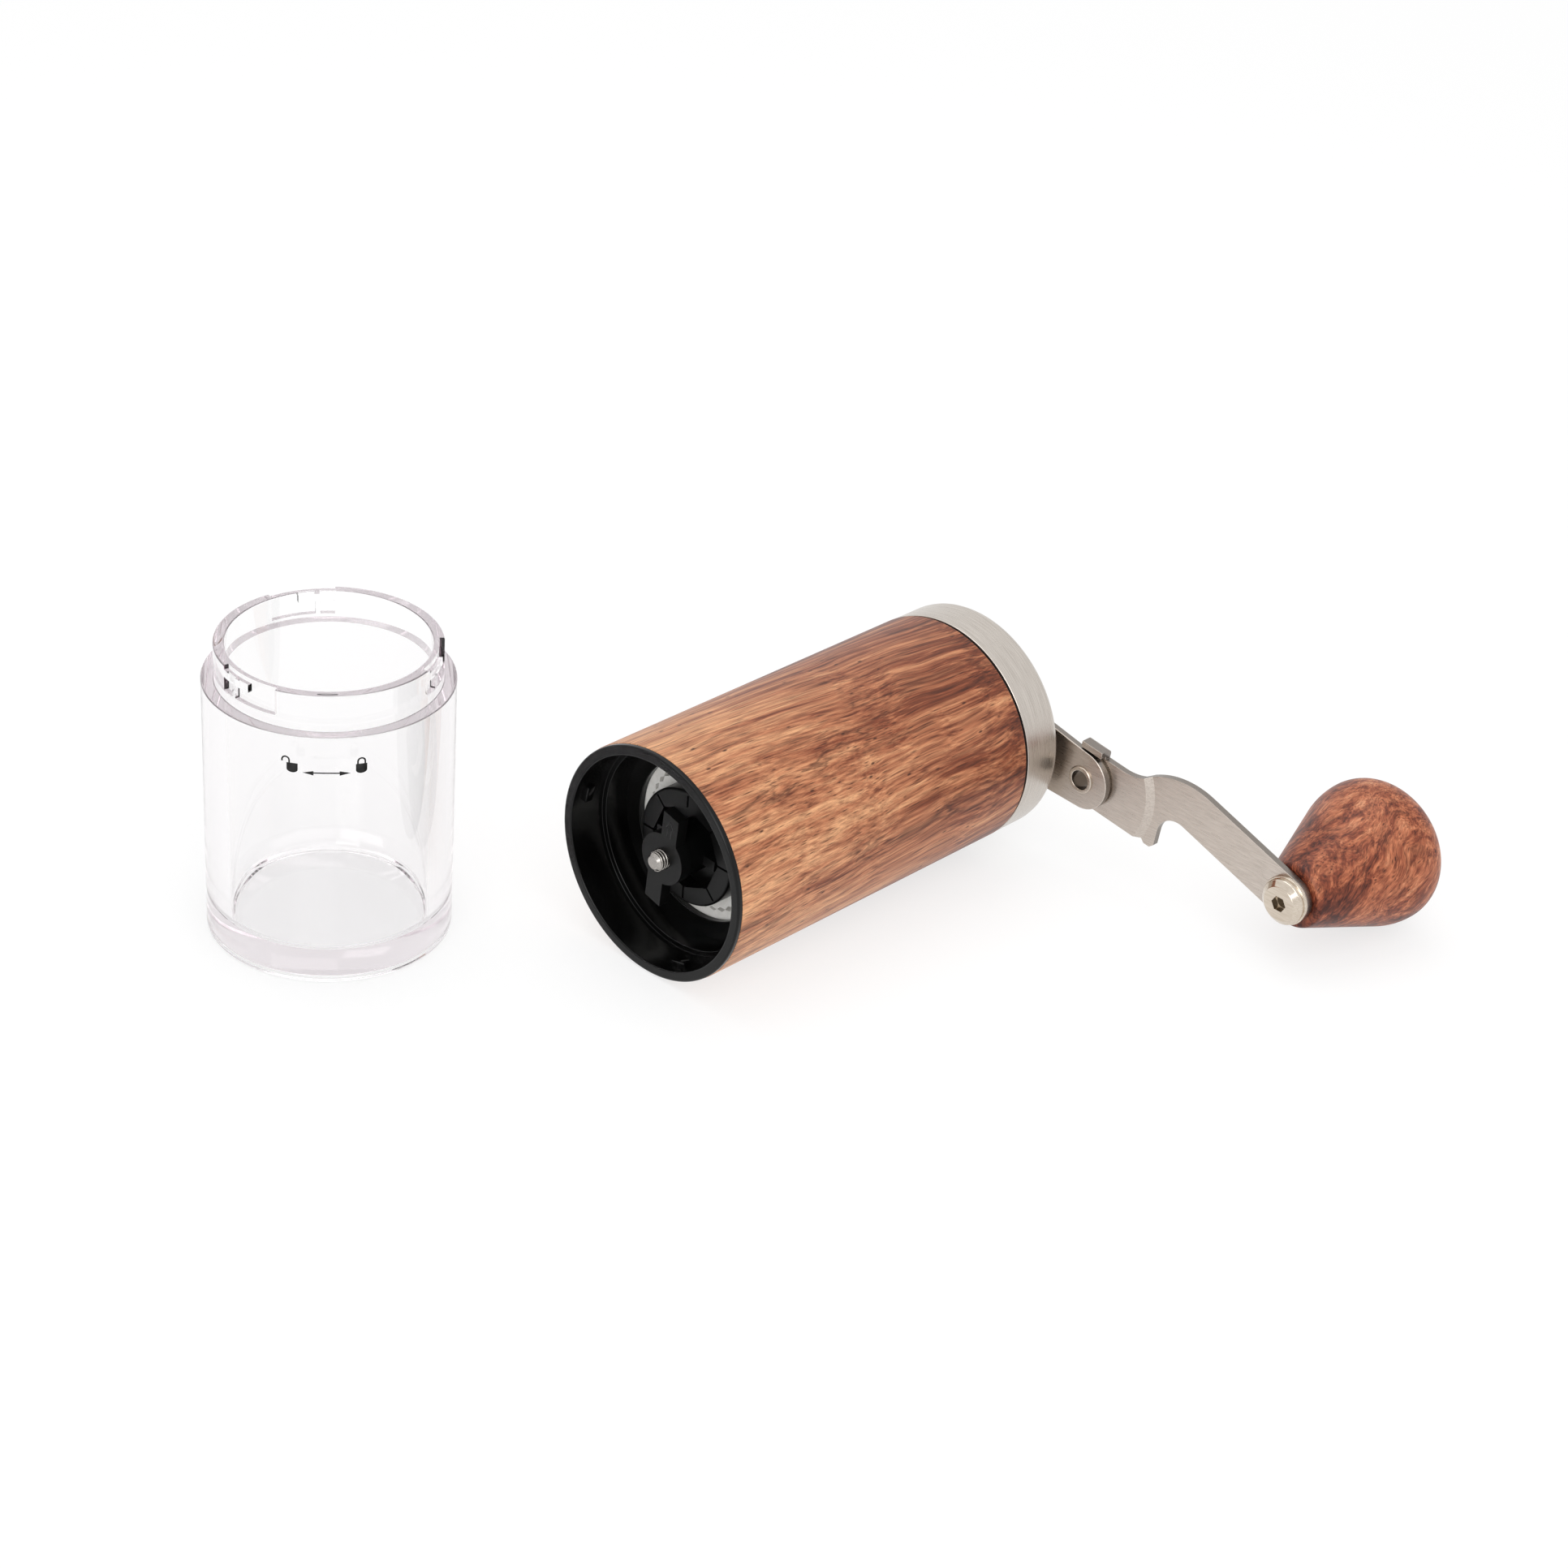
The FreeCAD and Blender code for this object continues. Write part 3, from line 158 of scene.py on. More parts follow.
# %% [markdown]
# ## Turned shapes
# The sleeve, the rim, the lid, the rivet, the knob, the screw and the jar are round, so each is a
# half outline turned about an axis, as on a lathe. Blender's Spin tool could do that. Building the
# rings directly lets each corner become a true arc first, because no moulded or rolled edge is
# sharp, and puts extra rings beside the corners, so that straight walls also shade straight.

# %% Turned shapes
SEGMENTS = 192
CORNER_STEPS = 5
HOLD = 0.05
SMOOTH_ANGLE = 40


def rounded(points, closed=True):
    """A profile of (radius, distance, corner radius) with each corner turned into an arc."""
    result = []
    count = len(points)
    for i, (x, y, corner) in enumerate(points):
        here = Vector((x, y))
        at_end = not closed and i in (0, count - 1)
        if not corner or at_end:
            result.append(here)
            continue
        before = (Vector(points[i - 1][:2]) - here).normalized()
        after = (Vector(points[(i + 1) % count][:2]) - here).normalized()
        half = before.angle(after) / 2
        start = here + before * (corner / math.tan(half))
        centre = here + (before + after).normalized() * (corner / math.sin(half))
        sweep = (start - centre).angle_signed(here + after * (corner / math.tan(half)) - centre)
        for step in range(CORNER_STEPS + 1):
            turn = Matrix.Rotation(-sweep * step / CORNER_STEPS, 2)
            result.append(centre + turn @ (start - centre))
    return [(point.x, point.y) for point in result]


def held(profile, closed):
    """The profile with points close to the ends of its long runs."""
    result = []
    ends = profile[1:] + profile[:1] if closed else profile[1:]
    for start, end in zip(profile, ends):
        result.append(start)
        run = Vector(end) - Vector(start)
        if run.length > 8 * HOLD:
            step = run.normalized() * HOLD
            result += [tuple(Vector(start) + step), tuple(Vector(end) - step)]
    return result if closed else result + profile[-1:]


def object_from(builder, name, smooth_angle=SMOOTH_ANGLE):
    """A mesh object at the origin from a bmesh, smooth except at edges sharper than the angle."""
    bmesh.ops.recalc_face_normals(builder, faces=builder.faces)
    mesh = bpy.data.meshes.new(name)
    builder.to_mesh(mesh)
    builder.free()
    mesh.shade_smooth()
    mesh.set_sharp_from_angle(angle=math.radians(smooth_angle))
    made = bpy.data.objects.new(name, mesh)
    bpy.context.scene.collection.objects.link(made)
    return made


def turned(name, profile, origin, way, closed=True, segments=SEGMENTS):
    """A profile of (radius, distance) in mm turned about an axis through origin."""
    side = UP if abs(way.z) < 0.5 else Vector((1, 0, 0))
    other = way.cross(side)
    angles = [2 * math.pi * i / segments for i in range(segments)]
    spokes = [side * math.cos(a) + other * math.sin(a) for a in angles]
    builder = bmesh.new()
    rings = []
    for r, along in held(profile, closed):
        base = origin + way * (along * MM)
        if r < 1e-6:
            rings.append([builder.verts.new(base)])
        else:
            rings.append([builder.verts.new(base + spoke * (r * MM)) for spoke in spokes])
    pairs = list(zip(rings, rings[1:]))
    if closed:
        pairs.append((rings[-1], rings[0]))
    for first, second in pairs:
        for i in range(segments):
            j = (i + 1) % segments
            corners = [first[i % len(first)], first[j % len(first)],
                       second[j % len(second)], second[i % len(second)]]
            unique = list(dict.fromkeys(corners))
            if len(unique) > 2:
                builder.faces.new(unique)
    return object_from(builder, name)


print("turned shapes: %d segments, %d points to a corner" % (SEGMENTS, CORNER_STEPS + 1))

# %% [markdown]
# ## Broken edges
# Plates and moulded parts that aren't round keep their CAD shape. A copy of the solid has its loose
# triangles merged into flat faces, then a Bevel modifier breaks the sharp edges, which is what makes
# an edge catch the light. Each finished piece is then told which body it moves with.

# %% Copies of solids and their bodies
MERGE = 2e-6
FLAT_ANGLE = 0.4
SHARP_ANGLE = 32


def flattened(shape):
    """The object with its modifiers made into a plain mesh."""
    bpy.context.view_layer.update()
    graph = bpy.context.evaluated_depsgraph_get()
    mesh = bpy.data.meshes.new_from_object(shape.evaluated_get(graph))
    shape.modifiers.clear()
    shape.data = mesh
    return shape


def softened(name, node, edge, segments=2, sharp=SHARP_ANGLE):
    """A copy of a CAD solid with its sharp edges broken by a small bevel."""
    builder = bmesh.new()
    builder.from_mesh(NODES[node].data)
    bmesh.ops.remove_doubles(builder, verts=builder.verts, dist=MERGE)
    bmesh.ops.dissolve_limit(builder, angle_limit=math.radians(FLAT_ANGLE), verts=builder.verts,
                             edges=builder.edges)
    copy = object_from(builder, name, sharp)
    if "custom_normal" in copy.data.attributes:
        copy.data.attributes.remove(copy.data.attributes["custom_normal"])
    bevel = copy.modifiers.new("edge", "BEVEL")
    bevel.width = edge * MM
    bevel.segments = segments
    bevel.limit_method = "ANGLE"
    bevel.angle_limit = math.radians(sharp)
    bevel.harden_normals = True
    return flattened(copy)


def dress(piece, body, slot, material, *nodes):
    """Gives a piece its finish and its body, and hides the CAD solids that it stands for."""
    if material:
        piece.data.materials.clear()
        piece.data.materials.append(material)
    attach(piece, body)
    if nodes:
        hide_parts(*nodes)
    print("%s: %d faces on %s" % (piece.name, len(piece.data.polygons), body))


# %% [markdown]
# ## Camera
# The picture's own camera was worked out from the outlines of the body, lid, mouth and jar: a long
# lens that looks down by 31 degrees, held with a slight roll. A Track To constraint could aim the
# camera, but it has no roll, so the three axes of the camera make its rotation here.

# %% Camera
CAMERA_PLACE = Vector((-425.4, -516.4, 432.0)) * MM
CAMERA_PITCH = math.radians(30.61)
CAMERA_HEADING = math.radians(47.55)
CAMERA_ROLL = math.radians(4.02)
LENS = 85.75
SENSOR = 36.0
NEAREST = 0.01


def aim(pitch, heading, roll):
    """Rotation of a camera that looks down by pitch along a heading, with a roll."""
    level = Vector((math.sin(heading), math.cos(heading), 0))
    right = Vector((math.cos(heading), -math.sin(heading), 0))
    look = level * math.cos(pitch) - UP * math.sin(pitch)
    top = level * math.sin(pitch) + UP * math.cos(pitch)
    side = right * math.cos(roll) + top * math.sin(roll)
    rise = top * math.cos(roll) - right * math.sin(roll)
    return Matrix((side, rise, -look)).transposed()


camera_data = bpy.data.cameras.new("camera")
camera_data.lens = LENS
camera_data.sensor_width = SENSOR
camera_data.clip_start = NEAREST
camera = bpy.data.objects.new("camera", camera_data)
camera.matrix_world = Matrix.Translation(CAMERA_PLACE) @ aim(
    CAMERA_PITCH, CAMERA_HEADING, CAMERA_ROLL).to_4x4()
bpy.context.scene.collection.objects.link(camera)
bpy.context.scene.camera = camera
print("camera: %.1f mm lens" % LENS)

# %% [markdown]
# ## White sky
# The picture is a product shot on white. A white sky is what the camera, the steel and the clear jar
# see, while the pieces are lit a little less brightly, so that pale surfaces keep their shading.
# Light Path tells these rays apart. White boards round the object would do it too, but they would
# show as edges in the steel. Clear walls behind each other need many bounces.

# %% Sky
SKY_LIGHT = 0.75
BOUNCES = 32
GLOSSY_BOUNCES = 24


def looked_at(tree):
    """One for what is seen, also in a reflection or through the jar, and zero for mere light."""
    rays = add(tree, "ShaderNodeLightPath")
    seen = add(tree, "ShaderNodeMath", {
        0: rays.outputs["Is Camera Ray"], 1: rays.outputs["Is Glossy Ray"]}, operation="MAXIMUM")
    seen = add(tree, "ShaderNodeMath", {
        0: seen.outputs[0], 1: rays.outputs["Is Transmission Ray"]}, operation="MAXIMUM")
    return seen.outputs[0]


bpy.context.scene.view_settings.view_transform = "Standard"
bpy.context.scene.cycles.max_bounces = BOUNCES
bpy.context.scene.cycles.glossy_bounces = GLOSSY_BOUNCES
bpy.context.scene.cycles.transmission_bounces = BOUNCES
world = bpy.data.worlds.new("studio")
world.use_nodes = True
bpy.context.scene.world = world
sky = world.node_tree
sky.nodes.clear()
strength = add(sky, "ShaderNodeMapRange", {
    "Value": looked_at(sky), "To Min": SKY_LIGHT, "To Max": 1.0})
glow = add(sky, "ShaderNodeBackground", {
    "Color": colour(WHITE), "Strength": strength.outputs[0]})
add(sky, "ShaderNodeOutputWorld", {"Surface": glow.outputs[0]})
print("sky: white, lights the pieces at %.2f" % SKY_LIGHT)

# %% [markdown]
# ## Floor
# The table is a sheet of white paper. It is part paper, which takes a faint shadow, so the pieces
# stand on something, and part white glow, which keeps it as white as the sky. Further out the glow
# takes over, so the floor has no edge. A curved backdrop would hide the edge only from the front.

# %% Floor
FLOOR_RADIUS = 3.0
FLOOR_SEGMENTS = 96
FLOOR_DROP = 0.15
FLOOR_GLOW = 0.72
FADE_START, FADE_END = 0.4, 1.4
PAPER = "#FCFCFC"


def paper_finish():
    """Matt white paper: even and without gloss, with the glow of a lit background."""
    material = bpy.data.materials.new("white_paper")
    material.use_nodes = True
    tree = material.node_tree
    tree.nodes.clear()
    spot = add(tree, "ShaderNodeTexCoord")
    away = add(tree, "ShaderNodeVectorMath", {0: spot.outputs["Object"]}, operation="LENGTH")
    fade_out = add(tree, "ShaderNodeMapRange", {
        "Value": away.outputs["Value"], "From Min": FADE_START, "From Max": FADE_END,
        "To Min": FLOOR_GLOW, "To Max": 1.0})
    share = add(tree, "ShaderNodeMath", {
        0: looked_at(tree), 1: fade_out.outputs[0]}, operation="MULTIPLY")
    matt = add(tree, "ShaderNodeBsdfDiffuse", {"Color": colour(PAPER)})
    white = add(tree, "ShaderNodeEmission", {"Color": colour(WHITE), "Strength": 1.0})
    mixed = add(tree, "ShaderNodeMixShader", {
        0: share.outputs[0], 1: matt.outputs[0], 2: white.outputs[0]})
    add(tree, "ShaderNodeOutputMaterial", {"Surface": mixed.outputs[0]})
    return material


floor_builder = bmesh.new()
bmesh.ops.create_circle(floor_builder, cap_ends=True, segments=FLOOR_SEGMENTS, radius=FLOOR_RADIUS,
                        matrix=Matrix.Translation((0, 0, -FLOOR_DROP * MM)))
floor = object_from(floor_builder, "floor")
floor.data.materials.append(paper_finish())
print("floor: %.0f m across" % (2 * FLOOR_RADIUS))

# %% [markdown]
# ## Lamps
# Three large soft lamps light the pieces: one from the front, one from above, and one that looks into
# the mouth, because black plastic in a hole shows nothing without it. Area lamps give the wide, soft
# reflections of a studio's softboxes; point or sun lamps would give hard spots on the steel.

# %% Lamps
# Name, place in metres, width in metres and power in watts.
LAMPS = [
    ("key", (-0.25, -0.75, 0.95), 0.9, 4.2),
    ("top", (0.15, 0.15, 1.1), 0.8, 2.8),
    ("mouth", (-0.85, -0.45, 0.35), 0.5, 2.6),
]
CENTRE = (Vector(cad_box[0]) + Vector(cad_box[1])) / 2
for name, place, size, power in LAMPS:
    light = bpy.data.lights.new(name, "AREA")
    light.size = size
    light.energy = power
    lamp = bpy.data.objects.new(name, light)
    lamp.location = place
    lamp.rotation_euler = (CENTRE - Vector(place)).to_track_quat("-Z", "Y").to_euler()
    bpy.context.scene.collection.objects.link(lamp)
print("lamps:", len(LAMPS))

# %% [markdown]
# ## How wood fibres lie
# Wood is fibres that run one way and wander round knots. Grain is noise that is stretched along the
# fibres, and before that, a slow noise pushes the places about that it is read from. A picture of
# wood could be wrapped round the tube, but noise needs no file, has no seam and stays sharp. It is
# read from Object coordinates, so that it never slides.

# %% Fibre places
# The push changes between these two distances along the grinder, in mm.
BEND_FROM, BEND_TO = 30, 85
HALF = (0.5, 0.5, 0.5)


def fibre_places(tree, origin, lean, swirl, bends):
    """Places that wander as the fibres do, and the plain ones, both measured from the origin."""
    spot = add(tree, "ShaderNodeTexCoord")
    centred = add(tree, "ShaderNodeMapping", {
        "Vector": spot.outputs["Object"], "Location": tuple(-c for c in origin)})
    leant = add(tree, "ShaderNodeMapping", {"Vector": centred.outputs[0], "Rotation": lean})
    wander = add(tree, "ShaderNodeTexNoise", {
        "Vector": leant.outputs[0], "Scale": 1 / (swirl * MM), "Detail": 2.0, "Roughness": 0.5})
    push = add(tree, "ShaderNodeVectorMath", {
        0: wander.outputs["Color"], 1: HALF}, operation="SUBTRACT")
    plain = add(tree, "ShaderNodeSeparateXYZ", {0: centred.outputs[0]})
    amount = add(tree, "ShaderNodeMapRange", {
        "Value": plain.outputs[0], "From Min": BEND_FROM * MM, "From Max": BEND_TO * MM,
        "To Min": bends[0] * MM, "To Max": bends[1] * MM})
    bend = add(tree, "ShaderNodeVectorMath", {
        0: push.outputs[0], "Scale": amount.outputs[0]}, operation="SCALE")
    bent = add(tree, "ShaderNodeVectorMath", {
        0: leant.outputs[0], 1: bend.outputs[0]}, operation="ADD")
    return bent.outputs[0], plain


print("fibres bend more from %d to %d mm along the body" % (BEND_FROM, BEND_TO))

# %% [markdown]
# ## Tones and marks of wood
# Three noises make the tones: broad bands, streaks and fine fibres. They are shifted along the piece
# and on its underside. Along the sleeve the shift is the print, tan at the mouth and red-brown near
# the lid; along the knob it is painted shade that darkens the neck. On the underside it is painted
# light: painted bounce light makes the sleeve lighter below, and painted shade makes the knob darker.
# On top lie the dark marks: thin veins where a noise crosses its middle value, and pores and knots,
# which are the cells of two Voronoi textures.

# %% Tones and marks
TONE_STOPS = (0.34, 0.44, 0.53, 0.65)
KNOT_LONG, KNOT_WIDE = 34, 13


def wood_tones(tree, grain, plain, tones, ends, under):
    """The toned fibres, then the noises of the bands and of the fibres for later use."""
    figure = add(tree, "ShaderNodeTexNoise", {
        "Vector": grain, "Scale": 0.22, "Detail": 6.0, "Roughness": 0.62, "Distortion": 0.3})
    streaks = add(tree, "ShaderNodeTexNoise", {
        "Vector": grain, "Scale": 1.0, "Detail": 5.0, "Roughness": 0.7, "Distortion": 0.15})
    fibre = add(tree, "ShaderNodeTexNoise", {
        "Vector": grain, "Scale": 4.0, "Detail": 4.0, "Roughness": 0.8})
    blend = add(tree, "ShaderNodeMix", {
        0: 0.6, NUMBER_A: figure.outputs["Fac"], NUMBER_B: streaks.outputs["Fac"]})
    # Painted shade on the knob: this shift darkens its neck; on the sleeve it follows the print.
    length, at_start, at_end = ends
    lengthwise = add(tree, "ShaderNodeMapRange", {
        "Value": plain.outputs[0], "From Min": 0.0, "From Max": length * MM,
        "To Min": at_start, "To Max": at_end})
    # Painted light: this shift lightens the sleeve's underside as bounce light and darkens the
    # knob's.
    half, below = under
    underside = add(tree, "ShaderNodeMapRange", {
        "Value": plain.outputs[2], "From Min": -half * MM, "From Max": 0.0,
        "To Min": below, "To Max": 0.0})
    shifted = add(tree, "ShaderNodeMath", {
        0: blend.outputs[0], 1: lengthwise.outputs[0]}, operation="ADD")
    depth = add(tree, "ShaderNodeMath", {
        0: shifted.outputs[0], 1: underside.outputs[0]}, operation="ADD")
    base = add(tree, "ShaderNodeValToRGB", {0: depth.outputs[0]},
               stops=list(zip(TONE_STOPS, tones)))
    fine = add(tree, "ShaderNodeMapRange", {
        "Value": fibre.outputs["Fac"], "From Min": 0.36, "From Max": 0.6,
        "To Min": 0.58, "To Max": 1.1})
    lined = add(tree, "ShaderNodeVectorMath", {
        0: base.outputs[0], 1: fine.outputs[0]}, operation="MULTIPLY")
    return lined.outputs[0], figure.outputs["Fac"], fibre.outputs["Fac"]


def wood_marks(tree, grain, bent, figure):
    """How much of the mark colour shows: veins in the dark bands, pores and a few knots."""
    field = add(tree, "ShaderNodeTexNoise", {
        "Vector": grain, "Scale": 0.34, "Detail": 4.0, "Roughness": 0.55, "Distortion": 0.5})
    off_middle = add(tree, "ShaderNodeMath", {
        0: field.outputs["Fac"], 1: 0.5}, operation="SUBTRACT")
    off_middle = add(tree, "ShaderNodeMath", {0: off_middle.outputs[0]}, operation="ABSOLUTE")
    line = add(tree, "ShaderNodeMapRange", {
        "Value": off_middle.outputs[0], "From Min": 0.0, "From Max": 0.028,
        "To Min": 0.7, "To Max": 0.0})
    dark_band = add(tree, "ShaderNodeMapRange", {
        "Value": figure, "From Min": 0.42, "From Max": 0.56, "To Min": 1.0, "To Max": 0.1})
    vein = add(tree, "ShaderNodeMath", {
        0: line.outputs[0], 1: dark_band.outputs[0]}, operation="MULTIPLY")
    pores = add(tree, "ShaderNodeTexVoronoi", {"Vector": grain, "Scale": 2.8, "Randomness": 1.0})
    pore = add(tree, "ShaderNodeMapRange", {
        "Value": pores.outputs["Distance"], "From Min": 0.08, "From Max": 0.3,
        "To Min": 0.8, "To Max": 0.0})
    knot_place = add(tree, "ShaderNodeMapping", {
        "Vector": bent,
        "Scale": (1 / (KNOT_LONG * MM), 1 / (KNOT_WIDE * MM), 1 / (KNOT_WIDE * MM))})
    knots = add(tree, "ShaderNodeTexVoronoi", {"Vector": knot_place.outputs[0], "Randomness": 1.0})
    knot = add(tree, "ShaderNodeMapRange", {
        "Value": knots.outputs["Distance"], "From Min": 0.05, "From Max": 0.13,
        "To Min": 0.9, "To Max": 0.0})
    marks = add(tree, "ShaderNodeMath", {
        0: vein.outputs[0], 1: pore.outputs[0]}, operation="MAXIMUM")
    marks = add(tree, "ShaderNodeMath", {
        0: marks.outputs[0], 1: knot.outputs[0]}, operation="MAXIMUM")
    return marks.outputs[0]


print("wood: %d tones and one mark colour" % len(TONE_STOPS))

# %% [markdown]
# ## Wood-look film and burl
# The sleeve is a plastic tube wrapped in a film that is printed like rosewood. The knob is turned
# from burl, a growth whose fibres swirl in all directions, so its grain cells are short and its
# push is strong. Both have a satin clear coat. One function makes both from their own sizes, rather
# than two materials drawn by hand, so that they stay one family.

# %% Wood finishes
BODY_TONES = ("#4A1F10", "#7E4128", "#B27350", "#D69E73")
KNOB_TONES = ("#45190E", "#83412A", "#B26A49", "#D4946E")


def wood(name, origin, along, across, tones, vein, lean, swirl, bends, ends, under):
    """Wood under a satin coat: sizes in mm, and tones from dark to light."""
    material, tree, shader = finish_named(
        name, Roughness=0.42, IOR=1.46, Specular_IOR_Level=0.3,
        Coat_Weight=0.08, Coat_Roughness=0.3)
    bent, plain = fibre_places(tree, origin, lean, swirl, bends)
    stretched = (1 / (along * MM), 1 / (across * MM), 1 / (across * MM))
    grain = add(tree, "ShaderNodeMapping", {"Vector": bent, "Scale": stretched}).outputs[0]
    lined, figure, fibre = wood_tones(tree, grain, plain, tones, ends, under)
    marks = wood_marks(tree, grain, bent, figure)
    veined = add(tree, "ShaderNodeMix", {
        0: marks, COLOUR_A: lined, COLOUR_B: colour(vein)}, data_type="RGBA")
    tree.links.new(veined.outputs[COLOUR_OUT], shader.inputs["Base Color"])
    emboss = add(tree, "ShaderNodeBump", {
        "Height": fibre, "Strength": 0.08, "Distance": 0.05 * MM})
    tree.links.new(emboss.outputs[0], shader.inputs["Normal"])
    return material


# Printed film gives long tan to red-brown lines and dark pores under a soft, wide sheen.
# Painted light: the sleeve's underside is made lighter, as painted bounce light from the floor.
film = wood("rosewood_print_film", BODY_AXIS, along=52, across=1.7, tones=BODY_TONES,
            vein="#331408", lean=(0.0, 0.05, 0.1), swirl=38, bends=(2.7, 9.9),
            ends=(90, 0.087, -0.063), under=(BODY_RADIUS, 0.06))
# Lacquered burl gives a stippled red-brown swirl, with painted shade that darkens the neck and
# underside.
burl = wood("burl_wood_lacquered", KNOB_AXIS, along=9, across=1.8, tones=KNOB_TONES,
            vein="#32120A", lean=(0.3, 0.9, 0.35), swirl=15, bends=(9, 9),
            ends=(15, -0.11, 0.0), under=(radius("knob"), -0.055))
print("wood finishes:", film.name, burl.name)

# %% [markdown]
# ## Moulded plastic
# The rim, the socket and the burr parts are moulded in black ABS. The wing is satin, and the socket
# comes from a polished mould, so it is glossier. A plain black shader would look like a hole, so a
# slow noise varies tone and gloss a little, and a fine grit bump breaks the reflections.

# %% Plastic finishes
CLOUD_SIZE = 14
CLOUD_STOPS = (0.35, 0.65)


def moulded(name, shades, roughness, grit, depth, gloss=0.25):
    """Moulded plastic with a fine grain of a given size in mm."""
    material, tree, shader = finish_named(
        name, Roughness=roughness, IOR=1.5, Specular_IOR_Level=gloss)
    spot = add(tree, "ShaderNodeTexCoord")
    grain = add(tree, "ShaderNodeTexNoise", {
        "Vector": spot.outputs["Object"], "Scale": 1 / (grit * MM), "Detail": 3.0,
        "Roughness": 0.6})
    cloud = add(tree, "ShaderNodeTexNoise", {
        "Vector": spot.outputs["Object"], "Scale": 1 / (CLOUD_SIZE * MM), "Detail": 3.0})
    tone = add(tree, "ShaderNodeValToRGB", {0: cloud.outputs["Fac"]},
               stops=list(zip(CLOUD_STOPS, shades)))
    tree.links.new(tone.outputs[0], shader.inputs["Base Color"])
    wear = add(tree, "ShaderNodeMapRange", {
        "Value": cloud.outputs["Fac"], "From Min": 0.3, "From Max": 0.7,
        "To Min": roughness * 0.85, "To Max": roughness * 1.2})
    tree.links.new(wear.outputs[0], shader.inputs["Roughness"])
    bump = add(tree, "ShaderNodeBump", {
        "Height": grain.outputs["Fac"], "Strength": depth, "Distance": 0.03 * MM})
    tree.links.new(bump.outputs[0], shader.inputs["Normal"])
    return material


# The grit of a real mould is under 0.1 mm; it is drawn two to six times coarser, so that it shows.
# Satin ABS gives a deep black with a soft grey sheen on the faces that look up.
satin_black = moulded("abs_black_satin", ("#080808", "#0E0E0E"), roughness=0.30, grit=0.25,
                      depth=0.12, gloss=0.18)
# Polished ABS gives a deeper black with small, clear highlights along its edges.
gloss_black = moulded("abs_black_polished", ("#050505", "#0A0A0A"), roughness=0.16, grit=0.6,
                      depth=0.04, gloss=0.22)
# A raised mark rubs paler than what surrounds it, so its line reads as dark grey.
mark_black = moulded("abs_black_mark", ("#2A2A2A", "#343434"), roughness=0.35, grit=0.25, depth=0.1)
# Natural acetal gives a milky off-white with a waxy sheen.
acetal = moulded("acetal_natural", ("#C9C6BC", "#D6D3CA"), roughness=0.45, grit=0.3, depth=0.15)
# Silicone gives a dull, dark grey without any clear reflection.
rubber = moulded("silicone_seal_black", ("#101010", "#181818"), roughness=0.6, grit=0.2, depth=0.2)
# Screen ink gives a flat, even black that stays dark on clear plastic.
ink = moulded("screen_ink_black", ("#141414", "#1E1E1E"), roughness=0.5, grit=0.2, depth=0.1)
print("plastics and ink:", satin_black.name, gloss_black.name, acetal.name, rubber.name, ink.name)

# %% [markdown]
# ## Brushed metal
# Brushing leaves fine lines that spread each reflection across them. The lid was brushed while it
# spun, so its lines run round the axis: the noise is read from the distance along the axis and out
# from it, and hardly from the angle. The crank's plates have straight lines along the arm. An
# anisotropic shader would do without lines, but from close by the lines themselves show.

# %% Metal patterns
ROUND_STEP = 0.35
PLATE_STRETCH = 14
LINE_STOPS = (0.3, 0.7)
HOLE_BLEND = 0.12
ACROSS_GRINDER = (0, 1, 1)


def spun_place(tree, place):
    """Places that change along the axis and out from it, and only slowly round it."""
    parts = add(tree, "ShaderNodeSeparateXYZ", {0: place})
    flat = add(tree, "ShaderNodeCombineXYZ", {1: parts.outputs[1], 2: parts.outputs[2]})
    out = add(tree, "ShaderNodeVectorMath", {0: flat.outputs[0]}, operation="LENGTH")
    turn = add(tree, "ShaderNodeMath", {
        0: parts.outputs[1], 1: parts.outputs[2]}, operation="ARCTAN2")
    slow = add(tree, "ShaderNodeMath", {
        0: turn.outputs[0], 1: ROUND_STEP * MM}, operation="MULTIPLY")
    return add(tree, "ShaderNodeCombineXYZ", {
        0: parts.outputs[0], 1: out.outputs["Value"], 2: slow.outputs[0]}).outputs[0]


def shaded_hole(tree, spot, surface, centre, bore, shade_colour):
    """The surface colour, with painted shade, a darker colour inside a hole that runs along the
    grinder.
    """
    away = add(tree, "ShaderNodeVectorMath", {
        0: spot.outputs["Object"], 1: tuple(centre)}, operation="SUBTRACT")
    away = add(tree, "ShaderNodeVectorMath", {
        0: away.outputs[0], 1: ACROSS_GRINDER}, operation="MULTIPLY")
    away = add(tree, "ShaderNodeVectorMath", {0: away.outputs[0]}, operation="LENGTH")
    inside = add(tree, "ShaderNodeMapRange", {
        "Value": away.outputs["Value"], "From Min": bore * MM,
        "From Max": (bore + HOLE_BLEND) * MM, "To Min": 1.0, "To Max": 0.0})
    return add(tree, "ShaderNodeMix", {
        0: inside.outputs[0], COLOUR_A: surface, COLOUR_B: colour(shade_colour)},
        data_type="RGBA").outputs[COLOUR_OUT]


def sheared_edges(tree, spot, surface, sheared):
    """The surface colour, with the colour of sheared metal on a plate's narrow edges."""
    facing = add(tree, "ShaderNodeSeparateXYZ", {0: spot.outputs["Normal"]})
    flat = add(tree, "ShaderNodeMath", {0: facing.outputs[0]}, operation="ABSOLUTE")
    edge = add(tree, "ShaderNodeMapRange", {
        "Value": flat.outputs[0], "From Min": 0.2, "From Max": 0.5, "To Min": 1.0, "To Max": 0.0})
    return add(tree, "ShaderNodeMix", {
        0: edge.outputs[0], COLOUR_A: surface, COLOUR_B: colour(sheared)},
        data_type="RGBA").outputs[COLOUR_OUT]


print("brushed lines on a plate are %d times as long as wide" % PLATE_STRETCH)
